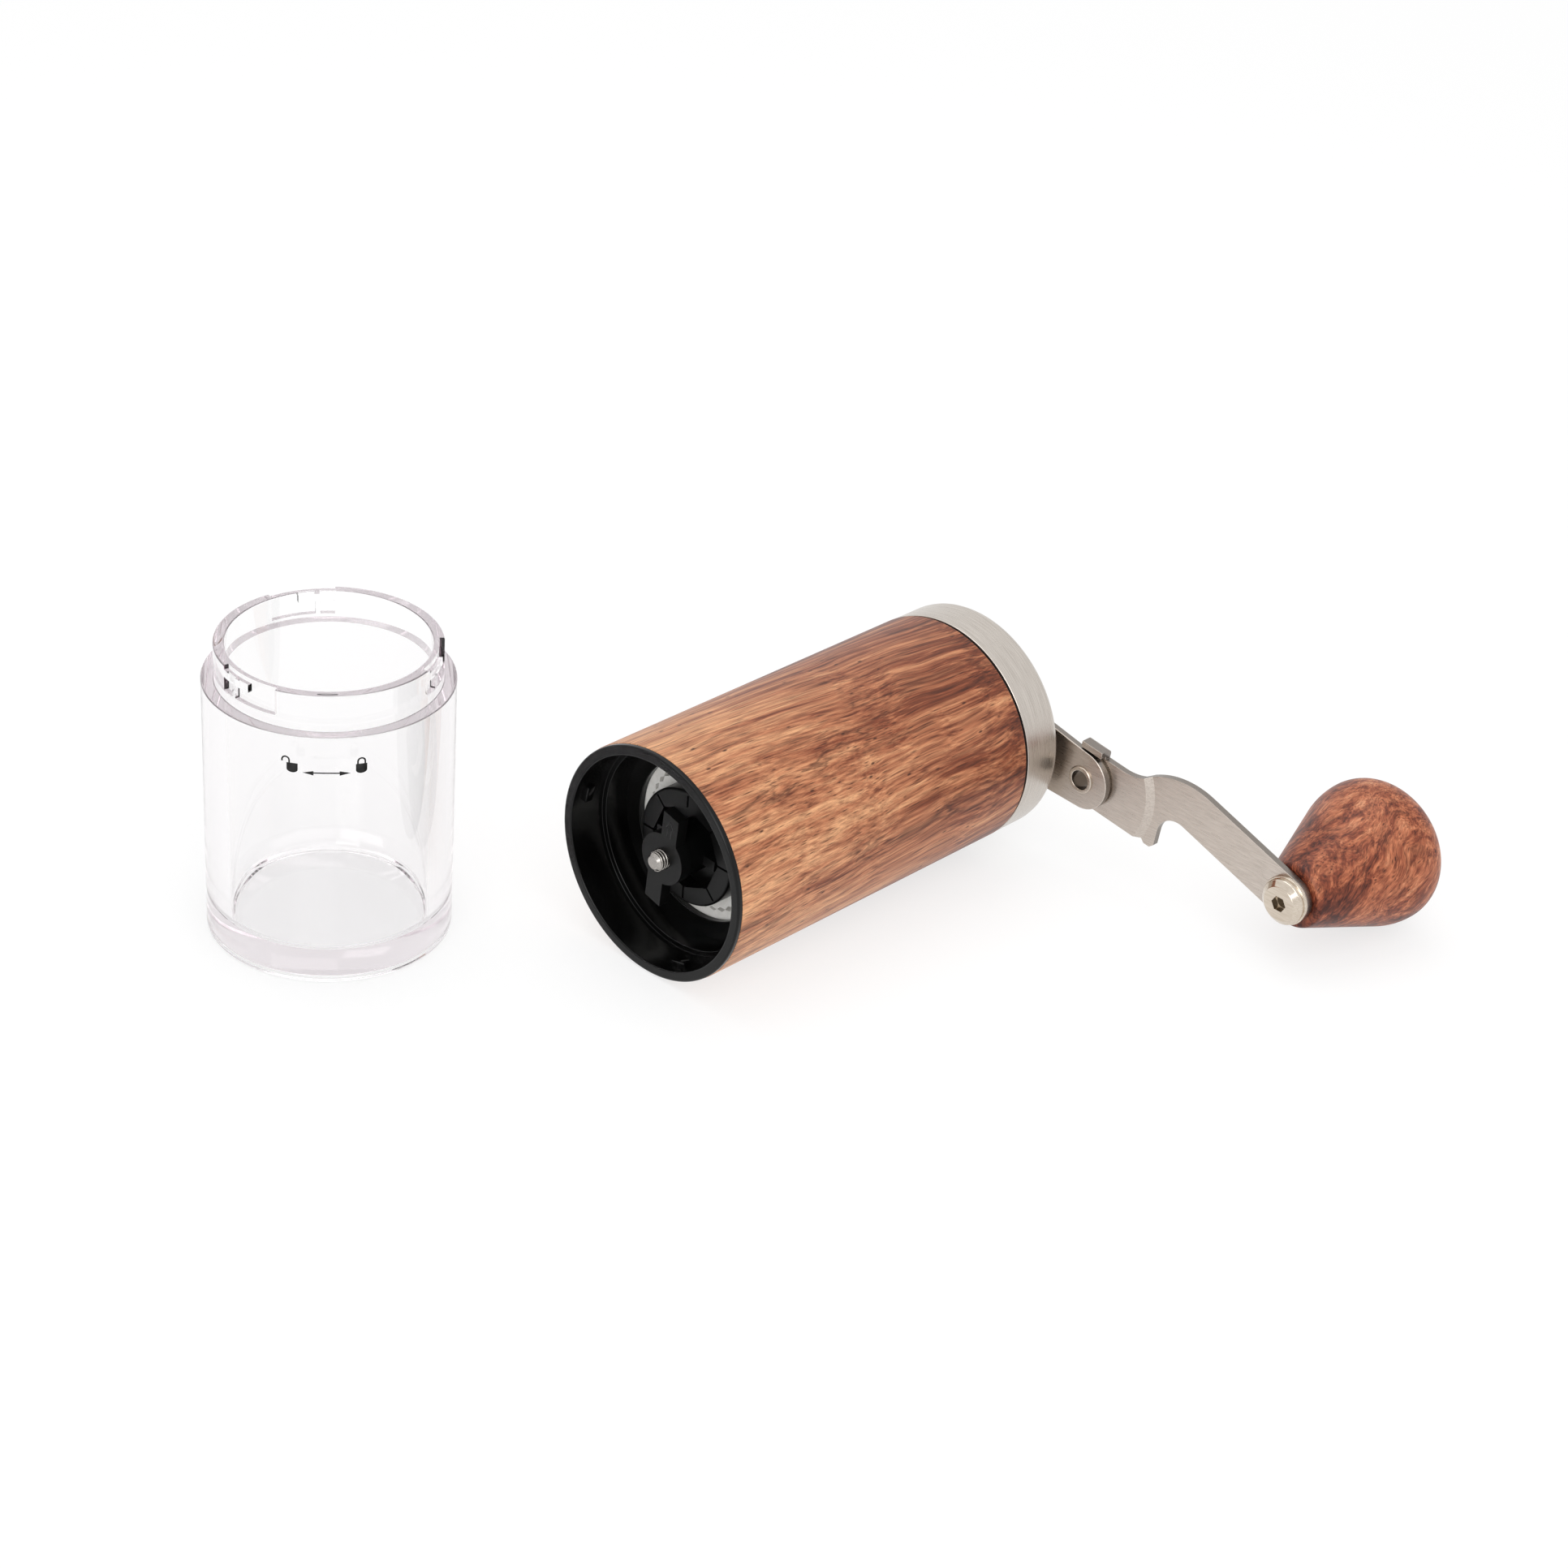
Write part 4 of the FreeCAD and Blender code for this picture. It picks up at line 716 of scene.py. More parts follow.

# %% [markdown]
# ## Steel, nickel and brass
# The lid is stainless steel, the crank's plates are tumbled stainless with sheared edges, the screw
# is bright nickel plate and the nut is brass. All are the same shader with other colours, gloss and
# line widths, because metals differ to the eye in just these. The hollow rivet and the screw's socket
# are painted darker inside, as painted shade in the holes.

# %% Metal finishes
RIVET_BORE = 2.2
HEX_FLATS = 3.2
# Painted shade fills the screw's socket out to this radius.
HEX_SHADE_RADIUS = HEX_FLATS / 2 - 0.1


def brushed(name, shades, roughness, line, spun, hollow=None, sheared=None):
    """Metal with brushed lines of a width in mm, round the grinder's axis or along the crank."""
    material, tree, shader = finish_named(name, Metallic=1.0, Roughness=roughness)
    spot = add(tree, "ShaderNodeTexCoord")
    place = add(tree, "ShaderNodeMapping", {
        "Vector": spot.outputs["Object"], "Location": tuple(-c for c in BODY_AXIS)}).outputs[0]
    stretch = (1 / (line * MM), 1 / (line * PLATE_STRETCH * MM), 1 / (line * MM))
    if spun:
        place = spun_place(tree, place)
        stretch = (1 / (line * MM),) * 3
    lines_place = add(tree, "ShaderNodeMapping", {"Vector": place, "Scale": stretch})
    lines = add(tree, "ShaderNodeTexNoise", {
        "Vector": lines_place.outputs[0], "Scale": 1.0, "Detail": 4.0, "Roughness": 0.7})
    surface = add(tree, "ShaderNodeValToRGB", {0: lines.outputs["Fac"]},
                  stops=list(zip(LINE_STOPS, shades))).outputs[0]
    # Painted shade: inside a hole the colour is made darker.
    if hollow:
        surface = shaded_hole(tree, spot, surface, *hollow)
    if sheared:
        surface = sheared_edges(tree, spot, surface, sheared)
    tree.links.new(surface, shader.inputs["Base Color"])
    rough = add(tree, "ShaderNodeMapRange", {
        "Value": lines.outputs["Fac"], "From Min": 0.3, "From Max": 0.7,
        "To Min": roughness * 0.8, "To Max": roughness * 1.25})
    tree.links.new(rough.outputs[0], shader.inputs["Roughness"])
    bump = add(tree, "ShaderNodeBump", {
        "Height": lines.outputs["Fac"], "Strength": 0.12, "Distance": 0.02 * MM})
    tree.links.new(bump.outputs[0], shader.inputs["Normal"])
    return material


# Real brushed lines are about 0.05 mm wide; they are drawn several times coarser, so that they show.
# Spun stainless gives pale rings and a soft band of light along the lid.
spun_steel = brushed("stainless_spun_brushed", ("#AFA79F", "#D8D1C9"), roughness=0.28, line=0.14,
                     spun=True)
# Tumbled plate gives a warm, even grey, with darker edges where the sheet was sheared.
plate_steel = brushed("stainless_tumbled_plate", ("#B5ABA2", "#D1C7BE"), roughness=0.3, line=0.3,
                      spun=False, sheared="#8A837D")
# Turned steel gives a darker grey with tight rings.
turned_steel = brushed("steel_turned", ("#8F8B86", "#BBB7B2"), roughness=0.22, line=0.08, spun=True)
# Bright nickel gives a warm mirror that shows the room, with painted shade darkening its socket.
nickel = brushed("nickel_plate_bright", ("#C4B7A7", "#DACFC1"), roughness=0.12, line=0.4,
                 spun=False, hollow=(KNOB_AXIS, HEX_SHADE_RADIUS, "#5A5043"))
# A rolled rivet gives a bright ring round a hole that is painted dark as shade.
rivet_steel = brushed("steel_rolled_rivet", ("#AEA296", "#CFC4B8"), roughness=0.18, line=0.3,
                      spun=False, hollow=(RIVET_AXIS, RIVET_BORE, "#5C5147"))
# Turned brass gives a soft yellow with fine rings.
brass = brushed("brass_turned", ("#B08A48", "#CFAA66"), roughness=0.28, line=0.2, spun=True)
print("metals:", spun_steel.name, plate_steel.name, turned_steel.name, nickel.name, brass.name)

# %% [markdown]
# ## Ceramic
# The burrs are fired zirconia: hard, dense and matt white, with a faint grey cast where coffee dust
# stays in the pores. Subsurface scattering would soften it, as on porcelain, but zirconia is nearly
# opaque, so a plain shader with a high IOR is closer.

# %% Ceramic finish
DUST_SIZE = 2.2


def ceramic_finish():
    """Fired ceramic: it gives a dry white, with a soft glint on the teeth from its high IOR."""
    material, tree, shader = finish_named("zirconia_ceramic_matt", Roughness=0.45, IOR=2.0)
    spot = add(tree, "ShaderNodeTexCoord")
    dust = add(tree, "ShaderNodeTexNoise", {
        "Vector": spot.outputs["Object"], "Scale": 1 / (DUST_SIZE * MM), "Detail": 6.0,
        "Roughness": 0.7})
    tone = add(tree, "ShaderNodeValToRGB", {0: dust.outputs["Fac"]},
               stops=[(0.3, "#DDDBD6"), (0.5, "#E9E7E2"), (0.7, "#F0EEEA")])
    tree.links.new(tone.outputs[0], shader.inputs["Base Color"])
    bump = add(tree, "ShaderNodeBump", {
        "Height": dust.outputs["Fac"], "Strength": 0.1, "Distance": 0.05 * MM})
    tree.links.new(bump.outputs[0], shader.inputs["Normal"])
    return material


ceramic = ceramic_finish()
print("ceramic:", ceramic.name)

# %% [markdown]
# ## Clear acrylic
# The jar is thick injection-moulded acrylic: water clear, with a faint lilac cast that gathers where
# one looks along the wall. Tinting the surface would colour all of it alike, so the cast comes from
# absorption in the volume, which grows with the length of plastic that the light passes.

# %% Acrylic finish
EDGE_TINT = "#E8E2E5"
TINT_DENSITY = 22.0
HAZE_SIZE = 9


def acrylic_finish():
    """Polished acrylic: it gives sharp bright edges, clear walls and a little haze from handling."""
    material, tree, shader = finish_named(
        "acrylic_clear", Transmission_Weight=1.0, IOR=1.49, Roughness=0.02,
        Base_Color=colour(WHITE))
    depth_tint = add(tree, "ShaderNodeVolumeAbsorption", {
        "Color": colour(EDGE_TINT), "Density": TINT_DENSITY})
    tree.links.new(depth_tint.outputs[0], tree.nodes["Material Output"].inputs["Volume"])
    spot = add(tree, "ShaderNodeTexCoord")
    haze = add(tree, "ShaderNodeTexNoise", {
        "Vector": spot.outputs["Object"], "Scale": 1 / (HAZE_SIZE * MM), "Detail": 5.0,
        "Roughness": 0.7})
    rough = add(tree, "ShaderNodeMapRange", {
        "Value": haze.outputs["Fac"], "From Min": 0.45, "From Max": 0.75,
        "To Min": 0.0, "To Max": 0.06})
    tree.links.new(rough.outputs[0], shader.inputs["Roughness"])
    return material


acrylic = acrylic_finish()
print("jar finish:", acrylic.name)

# %% [markdown]
# ## Sleeve
# The sleeve is the wood-look tube that the hand holds. It is a plain turned wall, with its two outer
# edges rounded a little, where the film is trimmed.

# %% Sleeve
SLEEVE_WALL = 1.1
SLEEVE_EDGE = 0.18
sleeve = turned("wood_sleeve_film", rounded([
    (BODY_RADIUS, sleeve_start, SLEEVE_EDGE),
    (BODY_RADIUS, sleeve_end, SLEEVE_EDGE),
    (BODY_RADIUS - SLEEVE_WALL, sleeve_end, 0),
    (BODY_RADIUS - SLEEVE_WALL, sleeve_start, 0),
]), BODY_AXIS, LID_WAY)
dress(sleeve, "grinder_body", "wood_film", film, "wood_sleeve")

# %% [markdown]
# ## Rim and socket
# The black ring in the mouth is one moulding: a flat rim that covers the sleeve's end, a socket for
# the jar's neck, and a thin spigot that goes on into the body with a slight draft, so that it comes
# out of its mould. It is turned from one closed outline rather than joined from rings.

# %% Rim and socket
SOCKET_RADIUS = 23.63
SOCKET_DEPTH = 8.9
SPIGOT_RADIUS, SPIGOT_BORE, SPIGOT_DRAFT = 23.61, 22.41, 0.5
SPIGOT_END = reach("mouth_ring")[1]
RIM_RADIUS = radius("mouth_ring")
RIM_BACK = sleeve_start - 0.02
RIM_INNER_EDGE, RIM_OUTER_EDGE, RIM_BACK_EDGE = 0.35, 0.45, 0.05
STEP_EDGE, SOCKET_CORNER = 0.2, 0.15
rim = turned("mouth_rim", rounded([
    (SOCKET_RADIUS, 0, RIM_INNER_EDGE),
    (RIM_RADIUS, 0, RIM_OUTER_EDGE),
    (RIM_RADIUS, RIM_BACK, RIM_BACK_EDGE),
    (RIM_RADIUS - SLEEVE_WALL, RIM_BACK, 0),
    (RIM_RADIUS - SLEEVE_WALL, SOCKET_DEPTH, 0),
    (SPIGOT_RADIUS, SOCKET_DEPTH, 0),
    (SPIGOT_RADIUS, SPIGOT_END, 0),
    (SPIGOT_BORE - SPIGOT_DRAFT, SPIGOT_END, 0),
    (SPIGOT_BORE, SOCKET_DEPTH, STEP_EDGE),
    (SOCKET_RADIUS, SOCKET_DEPTH, SOCKET_CORNER),
]), BODY_AXIS, LID_WAY)
dress(rim, "grinder_body", "black_plastic", gloss_black, "mouth_ring")

# %% [markdown]
# ## Bayonet lugs
# Three equal lugs stand in the socket and hold the jar. A lug is drawn once, and Geometry Nodes
# puts copies of it round a circle, then makes them real mesh. Three copies made in a loop would do
# as well here, but the tree has its count and angle as inputs, so it also serves other rings.

# %% Lug and ring tree
LUG_WIDTH = 4.0
LUG_PROUD = 1.0
LUG_SUNK = 0.3
LUG_START, LUG_END = 2.9, 4.9
LUG_EDGE = 0.25


def lug_block():
    """One lug at the top of the socket, as a bevelled block."""
    builder = bmesh.new()
    size = (LUG_END - LUG_START, LUG_WIDTH, LUG_PROUD + LUG_SUNK)
    bmesh.ops.create_cube(builder, size=1.0, matrix=Matrix.Diagonal((*[s * MM for s in size], 1)))
    bmesh.ops.translate(builder, verts=builder.verts, vec=Vector((
        (LUG_START + LUG_END) / 2, 0, SOCKET_RADIUS + LUG_SUNK - size[2] / 2)) * MM)
    bmesh.ops.bevel(builder, geom=builder.edges, offset=LUG_EDGE * MM, segments=2, affect="EDGES",
                    profile=0.5)
    return object_from(builder, "lug_block")


def ring_tree(name, material):
    """A node tree that repeats an object's mesh evenly round the +X axis."""
    tree = bpy.data.node_groups.new(name, "GeometryNodeTree")
    face = tree.interface
    face.new_socket("Geometry", in_out="INPUT", socket_type="NodeSocketGeometry")
    face.new_socket("Count", in_out="INPUT", socket_type="NodeSocketInt")
    face.new_socket("First angle", in_out="INPUT", socket_type="NodeSocketFloat")
    face.new_socket("Geometry", in_out="OUTPUT", socket_type="NodeSocketGeometry")
    entry = add(tree, "NodeGroupInput")
    points = add(tree, "GeometryNodePoints", {"Count": entry.outputs["Count"]})
    index = add(tree, "GeometryNodeInputIndex")
    step = add(tree, "ShaderNodeMath", {
        0: 2 * math.pi, 1: entry.outputs["Count"]}, operation="DIVIDE")
    turn = add(tree, "ShaderNodeMath", {
        0: index.outputs[0], 1: step.outputs[0], 2: entry.outputs["First angle"]},
        operation="MULTIPLY_ADD")
    angles = add(tree, "ShaderNodeCombineXYZ", {0: turn.outputs[0]})
    copies = add(tree, "GeometryNodeInstanceOnPoints", {
        "Points": points.outputs[0], "Instance": entry.outputs["Geometry"],
        "Rotation": angles.outputs[0]})
    real = add(tree, "GeometryNodeRealizeInstances", {0: copies.outputs[0]})
    painted = add(tree, "GeometryNodeSetMaterial", {
        "Geometry": real.outputs[0], "Material": material})
    add(tree, "NodeGroupOutput", {0: painted.outputs[0]})
    return tree


print("lug: %.1f mm wide, stands %.1f mm proud" % (LUG_WIDTH, LUG_PROUD))

# %% [markdown]
# ## Trees made into mesh
# A modifier runs a tree on an object. Its inputs are set by the identifiers of their sockets, since
# names need not be unique. The result becomes a plain mesh, because the export drops instances, and
# only then moves onto the grinder's axis, so that the object itself stays at the origin.

# %% Lugs in the socket
LUG_COUNT = 3
LUG_FIRST = math.radians(13.0 - 90)


def grown(shape, tree, start, inputs):
    """The object run through a node tree with its inputs set, moved onto the axis at a distance."""
    maker = shape.modifiers.new("tree", "NODES")
    maker.node_group = tree
    sockets = {item.name: item.identifier for item in tree.interface.items_tree
               if item.in_out == "INPUT"}
    for key, value in inputs.items():
        maker[sockets[key]] = value
    flattened(shape)
    shape.data.transform(Matrix.Translation(BODY_AXIS + LID_WAY * (start * MM)))
    return shape


lugs = grown(lug_block(), ring_tree("lugs_round_the_socket", gloss_black), 0,
             {"Count": LUG_COUNT, "First angle": LUG_FIRST})
lugs.name = "bayonet_lugs"
dress(lugs, "grinder_body", "black_plastic", None)

# %% [markdown]
# ## Burr carrier, dial and wing
# These are moulded shapes with flat faces, slits and holes. Turning can't make them, so they are
# copies of their solids with broken edges. The wing is handled most, so its edges are the roundest.

# %% Carrier, dial and wing
CARRIER_EDGE, DIAL_EDGE, WING_EDGE = 0.2, 0.12, 0.35
WING_EDGE_STEPS = 3
dress(softened("burr_carrier_cup", "burr_carrier", CARRIER_EDGE),
      "grinder_body", "black_plastic", gloss_black, "burr_carrier")
dress(softened("burr_dial_face", "burr_dial", DIAL_EDGE),
      "burr_unit", "black_plastic", satin_black, "burr_dial")
dress(softened("adjuster_wing_body", "adjuster_wing", WING_EDGE, WING_EDGE_STEPS),
      "adjuster", "black_plastic", satin_black, "adjuster_wing")

# %% [markdown]
# ## Arrow on the wing
# A thin arrow stands on the wing's upper arm. A bump in the wing's finish could show it, but the
# exported shape would lose it, so it is a line of even width, laid on the face, that a Solidify
# modifier gives its small height.

# %% Wing arrow
WING_FACE = reach("adjuster_wing")[0]
WING_TURN = math.radians(5.0)
WING_ARROW = [(-1.75, 6.0), (-1.75, 8.2), (-2.25, 8.2), (-1.2, 9.9), (-0.15, 8.2), (-0.65, 8.2),
              (-0.65, 6.0)]
WING_ARROW_LINE = 0.22
WING_ARROW_PROUD = 0.03


def patch(builder, outline):
    """A flat closed outline filled as one face."""
    corners = [builder.verts.new((x, y, 0)) for x, y in outline]
    builder.faces.new(corners)


def stroke(builder, line, width):
    """A line of even width as a row of four-sided faces."""
    left, right = [], []
    for i, (x, y) in enumerate(line):
        before = Vector(line[max(i - 1, 0)])
        after = Vector(line[min(i + 1, len(line) - 1)])
        side = (after - before).normalized().orthogonal() * width / 2
        left.append((x + side.x, y + side.y))
        right.append((x - side.x, y - side.y))
    for i in range(len(line) - 1):
        patch(builder, [left[i], left[i + 1], right[i + 1], right[i]])


def wing_arrow():
    """The arrow's outline on the wing's upper arm, seen from the mouth."""
    builder = bmesh.new()
    stroke(builder, WING_ARROW, WING_ARROW_LINE)
    turn = Matrix.Rotation(WING_TURN, 2)
    for vert in builder.verts:
        across, up = turn @ Vector((vert.co.x, vert.co.y))
        vert.co = BODY_AXIS + Vector((WING_FACE - WING_ARROW_PROUD, across, up)) * MM
    return object_from(builder, "wing_arrow")


arrow = wing_arrow()
raised = arrow.modifiers.new("raised", "SOLIDIFY")
raised.thickness = 2 * WING_ARROW_PROUD * MM
raised.offset = 0
dress(flattened(arrow), "adjuster", "black_plastic", mark_black)

# %% [markdown]
# ## Stud and its thread
# The shaft ends in a threaded stud that carries the wing. A thread is a ridge that winds round a
# core, so Geometry Nodes sweep a small round wire along a spiral. The Screw modifier could make the
# same ridge, but one tree with named sizes winds the spring as well.

# %% Spiral tree
SPIRAL_STEPS = 40


def spiral_tree(name, material):
    """A node tree that sweeps a round wire along a spiral about +X."""
    tree = bpy.data.node_groups.new(name, "GeometryNodeTree")
    face = tree.interface
    for size in ("Radius", "Length", "Turns", "Wire"):
        face.new_socket(size, in_out="INPUT", socket_type="NodeSocketFloat")
    face.new_socket("Sides", in_out="INPUT", socket_type="NodeSocketInt")
    face.new_socket("Geometry", in_out="OUTPUT", socket_type="NodeSocketGeometry")
    entry = add(tree, "NodeGroupInput")
    path = add(tree, "GeometryNodeCurveSpiral", {
        "Resolution": SPIRAL_STEPS, "Rotations": entry.outputs["Turns"],
        "Start Radius": entry.outputs["Radius"], "End Radius": entry.outputs["Radius"],
        "Height": entry.outputs["Length"]})
    section = add(tree, "GeometryNodeCurvePrimitiveCircle", {
        "Resolution": entry.outputs["Sides"], "Radius": entry.outputs["Wire"]})
    sweep = add(tree, "GeometryNodeCurveToMesh", {
        "Curve": path.outputs[0], "Profile Curve": section.outputs[0], "Fill Caps": True})
    lie = add(tree, "GeometryNodeTransform", {
        "Geometry": sweep.outputs[0], "Rotation": (0.0, math.pi / 2, 0.0)})
    real = add(tree, "GeometryNodeRealizeInstances", {0: lie.outputs[0]})
    painted = add(tree, "GeometryNodeSetMaterial", {
        "Geometry": real.outputs[0], "Material": material})
    add(tree, "NodeGroupOutput", {0: painted.outputs[0]})
    return tree


def wound(name, tree, start, **sizes):
    """A smooth wire wound by a spiral tree, put on the grinder's axis at a distance."""
    piece = grown(object_from(bmesh.new(), name), tree, start, sizes)
    piece.data.shade_smooth()
    return piece


print("spiral: %d steps a turn" % SPIRAL_STEPS)

# %% [markdown]
# ## Thread and shaft
# The ridge has the pitch of an M4 thread, 0.7 mm, so it fits the turns that the wing makes. The
# shaft under it is a copy of its solid with edges just broken, because it runs in its bearings.

# %% Thread and shaft
THREAD_PITCH = 0.7
THREAD_CORE = 1.98
THREAD_PROUD = 0.22
THREAD_START, THREAD_END = 1.7, 6.1
THREAD_SIDES = 6
SHAFT_EDGE = 0.06
thread_length = THREAD_END - THREAD_START
thread = wound("stud_thread", spiral_tree("thread_ridge", turned_steel), THREAD_START,
               Radius=THREAD_CORE * MM, Length=thread_length * MM,
               Turns=thread_length / THREAD_PITCH, Wire=THREAD_PROUD * MM, Sides=THREAD_SIDES)
dress(thread, "drive", "steel", None)
dress(softened("drive_shaft_turned", "drive_shaft", SHAFT_EDGE),
      "drive", "steel", turned_steel, "drive_shaft")

# %% [markdown]
# ## Spring
# A coil spring pushes the cone burr down onto the wing. It is wound by the same spiral tree, at the
# length that it has when the wing is screwed right in, because a rigid coil can't give way.

# %% Spring
COIL_RADIUS = 5.4
COIL_WIRE = 0.45
COIL_LENGTH = 8.6
COIL_TURNS = 5.0
COIL_SIDES = 12
coil = wound("burr_spring_coil", spiral_tree("spring_coil", turned_steel),
             reach("burr_spring")[0] + COIL_WIRE, Radius=COIL_RADIUS * MM,
             Length=(COIL_LENGTH - 2 * COIL_WIRE) * MM, Turns=COIL_TURNS,
             Wire=COIL_WIRE * MM, Sides=COIL_SIDES)
dress(coil, "burr_unit", "steel", None, "burr_spring")

# %% [markdown]
# ## Lid
# The lid is a shallow drawn cap: a straight wall, a soft rolled shoulder and a flat top with a hole
# for the shaft. It is turned as a closed shell with a real sheet thickness. A single surface with a
# Solidify modifier would be thinner on the shoulder than on the wall.

# %% Lid
LID_RADIUS = radius("lid_shell")
LID_SHEET = 0.7
LID_SHOULDER = 2.0
LID_HOLE = 6.95
LID_OUTER_LIP, LID_INNER_LIP, LID_HOLE_EDGE = 0.2, 0.1, 0.15
lid = turned("lid_cap", rounded([
    (LID_RADIUS, lid_start, LID_OUTER_LIP),
    (LID_RADIUS, lid_end, LID_SHOULDER),
    (LID_HOLE, lid_end, LID_HOLE_EDGE),
    (LID_HOLE, lid_end - LID_SHEET, 0),
    (LID_RADIUS - LID_SHEET, lid_end - LID_SHEET, LID_SHOULDER - LID_SHEET),
    (LID_RADIUS - LID_SHEET, lid_start, LID_INNER_LIP),
]), BODY_AXIS, LID_WAY)
dress(lid, "lid", "brushed_stainless", spun_steel, "lid_shell")

# %% [markdown]
# ## Crank plates and hub
# The bracket and the arm are stamped from sheet, bent and then tumbled, which rounds their edges. So
# a copy of each CAD plate takes a small round on its edges. The arm's bends are shallow, so its
# limit angle is smaller, and they are rounded too.

# %% Crank plates and hub
PLATE_EDGE, PLATE_EDGE_STEPS = 0.22, 3
ARM_SHARP_ANGLE = 24
HUB_EDGE = 0.2
dress(softened("crank_bracket_plate", "crank_bracket", PLATE_EDGE, PLATE_EDGE_STEPS),
      "crank", "brushed_stainless", plate_steel, "crank_bracket")
dress(softened("crank_arm_plate", "crank_arm", PLATE_EDGE, PLATE_EDGE_STEPS, ARM_SHARP_ANGLE),
      "handle_arm", "brushed_stainless", plate_steel, "crank_arm")
dress(softened("crank_hub_socket", "crank_hub", HUB_EDGE),
      "crank", "brushed_stainless", plate_steel, "crank_hub")

# %% [markdown]
# ## Hinge rivet
# A hollow rivet is a short tube whose ends are rolled outwards over the plates. It is a turned shape
# again, with fewer segments, because it is small in the picture.

# %% Hinge rivet
RIVET_SHANK, RIVET_FLANGE, FLANGE_HEIGHT = 2.7, 3.2, 0.5
RIVET_MOUTH, FLANGE_EDGE, FLANGE_ROOT = 0.22, 0.3, 0.05
RIVET_SEGMENTS = 96
RIVET_CENTRE = Vector((BODY_AXIS.x, RIVET_AXIS.y, RIVET_AXIS.z))
rivet_start, rivet_end = reach("hinge_rivet")
rivet = turned("hinge_rivet_rolled", rounded([
    (RIVET_BORE, rivet_start, RIVET_MOUTH),
    (RIVET_FLANGE, rivet_start, FLANGE_EDGE),
    (RIVET_FLANGE, rivet_start + FLANGE_HEIGHT, FLANGE_ROOT),
    (RIVET_SHANK, rivet_start + FLANGE_HEIGHT, 0),
    (RIVET_SHANK, rivet_end - FLANGE_HEIGHT, 0),
    (RIVET_FLANGE, rivet_end - FLANGE_HEIGHT, FLANGE_ROOT),
    (RIVET_FLANGE, rivet_end, FLANGE_EDGE),
    (RIVET_BORE, rivet_end, RIVET_MOUTH),
]), RIVET_CENTRE, LID_WAY, segments=RIVET_SEGMENTS)
dress(rivet, "crank", "steel", rivet_steel, "hinge_rivet")

# %% [markdown]
# ## Knob
# The knob is one turned profile: a rounded neck, a cone that runs into a round belly, and a flat
# crown. A subdivided cage could give such a pear shape, but arcs that touch each other without a
# corner keep the exact radii of the CAD, and the script only draws them with more steps.

# %% Knob
KNOB_NECK = 7.2
KNOB_NECK_EDGE = 1.0
KNOB_BELLY = 28.2
KNOB_BELLY_RADIUS = 16.3
KNOB_DOME = 9.85
KNOB_SHOULDER = 7.0
KNOB_POCKET = 4.22
KNOB_POCKET_DEPTH = 16.02
CONE_SAMPLE = 9
ARC_STEPS = 28


def arc(centre, r, first, last):
    """Points of an arc in the (radius, distance) plane."""
    angles = [first + (last - first) * i / ARC_STEPS for i in range(ARC_STEPS + 1)]
    return [(centre[0] + r * math.cos(a), centre[1] + r * math.sin(a)) for a in angles]


def knob_profile():
    """The knob's half outline from its pocket round to the crown."""
    away = math.hypot(KNOB_NECK, KNOB_BELLY)
    lean = math.atan2(KNOB_BELLY, -KNOB_NECK) - math.asin(KNOB_BELLY_RADIUS / away)
    across = KNOB_BELLY_RADIUS - KNOB_SHOULDER
    rise = KNOB_DOME - KNOB_SHOULDER
    crown = (across ** 2 + KNOB_DOME ** 2 - KNOB_SHOULDER ** 2) / (2 * rise)
    bend = math.atan2(crown - KNOB_DOME, across)
    on_cone = (KNOB_NECK + math.cos(lean) * CONE_SAMPLE, math.sin(lean) * CONE_SAMPLE, 0)
    corner = rounded([(0, 0, 0), (KNOB_NECK, 0, KNOB_NECK_EDGE), on_cone], closed=False)
    points = [(0, KNOB_POCKET_DEPTH), (KNOB_POCKET, KNOB_POCKET_DEPTH), (KNOB_POCKET, 0)]
    points += corner[1:-1]
    points += arc((0, KNOB_BELLY), KNOB_BELLY_RADIUS, lean - math.pi / 2, 0)
    points += arc((across, KNOB_BELLY), KNOB_SHOULDER, 0, bend)[1:]
    points += arc((0, KNOB_BELLY + KNOB_DOME - crown), crown, bend, math.pi / 2)[1:]
    return points


knob = turned("knob_turned", knob_profile(), KNOB_AXIS, LID_WAY, closed=False)
dress(knob, "knob_set", "knob_wood", burl, "knob")

# %% [markdown]
# ## Screw
# A button-head screw holds the knob on the arm. The head, the flange and the shank are turned. The
# hexagon socket is then cut with a six-sided bar by a Boolean, as a punch forms the real one. Faces
# drawn by hand round the socket would do the same with much more code.

# %% Screw
SCREW_FACE, SCREW_CAP, SCREW_FLANGE = 3.9, 5.15, 5.5
SCREW_SHANK, SCREW_THREAD = 3.0, 2.45
CAP_HEIGHT, FLANGE_TOP, HEAD_HEIGHT = 1.1, 2.0, 2.9
FACE_EDGE, CAP_EDGE, CAP_ROOT, HEAD_EDGE, TIP_EDGE = 0.3, 0.35, 0.05, 0.15, 0.3
HEX_DEPTH = 1.7
HEX_RADIUS = HEX_FLATS / math.sqrt(3)
CARVED_ANGLE = 30
screw_start, screw_end = [(corner.x - KNOB_AXIS.x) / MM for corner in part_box("knob_screw")]


def hex_cutter():
    """A six-sided bar that is sunk into the screw's face."""
    builder = bmesh.new()
    bmesh.ops.create_cone(builder, cap_ends=True, segments=6, depth=2 * HEX_DEPTH * MM,
                          radius1=HEX_RADIUS * MM, radius2=HEX_RADIUS * MM)
    lie = Matrix.Rotation(math.pi / 2, 4, "Y")
    place = Matrix.Translation(KNOB_AXIS + LID_WAY * (screw_start * MM))
    bmesh.ops.transform(builder, matrix=place @ lie, verts=builder.verts)
    return object_from(builder, "hex_cutter")


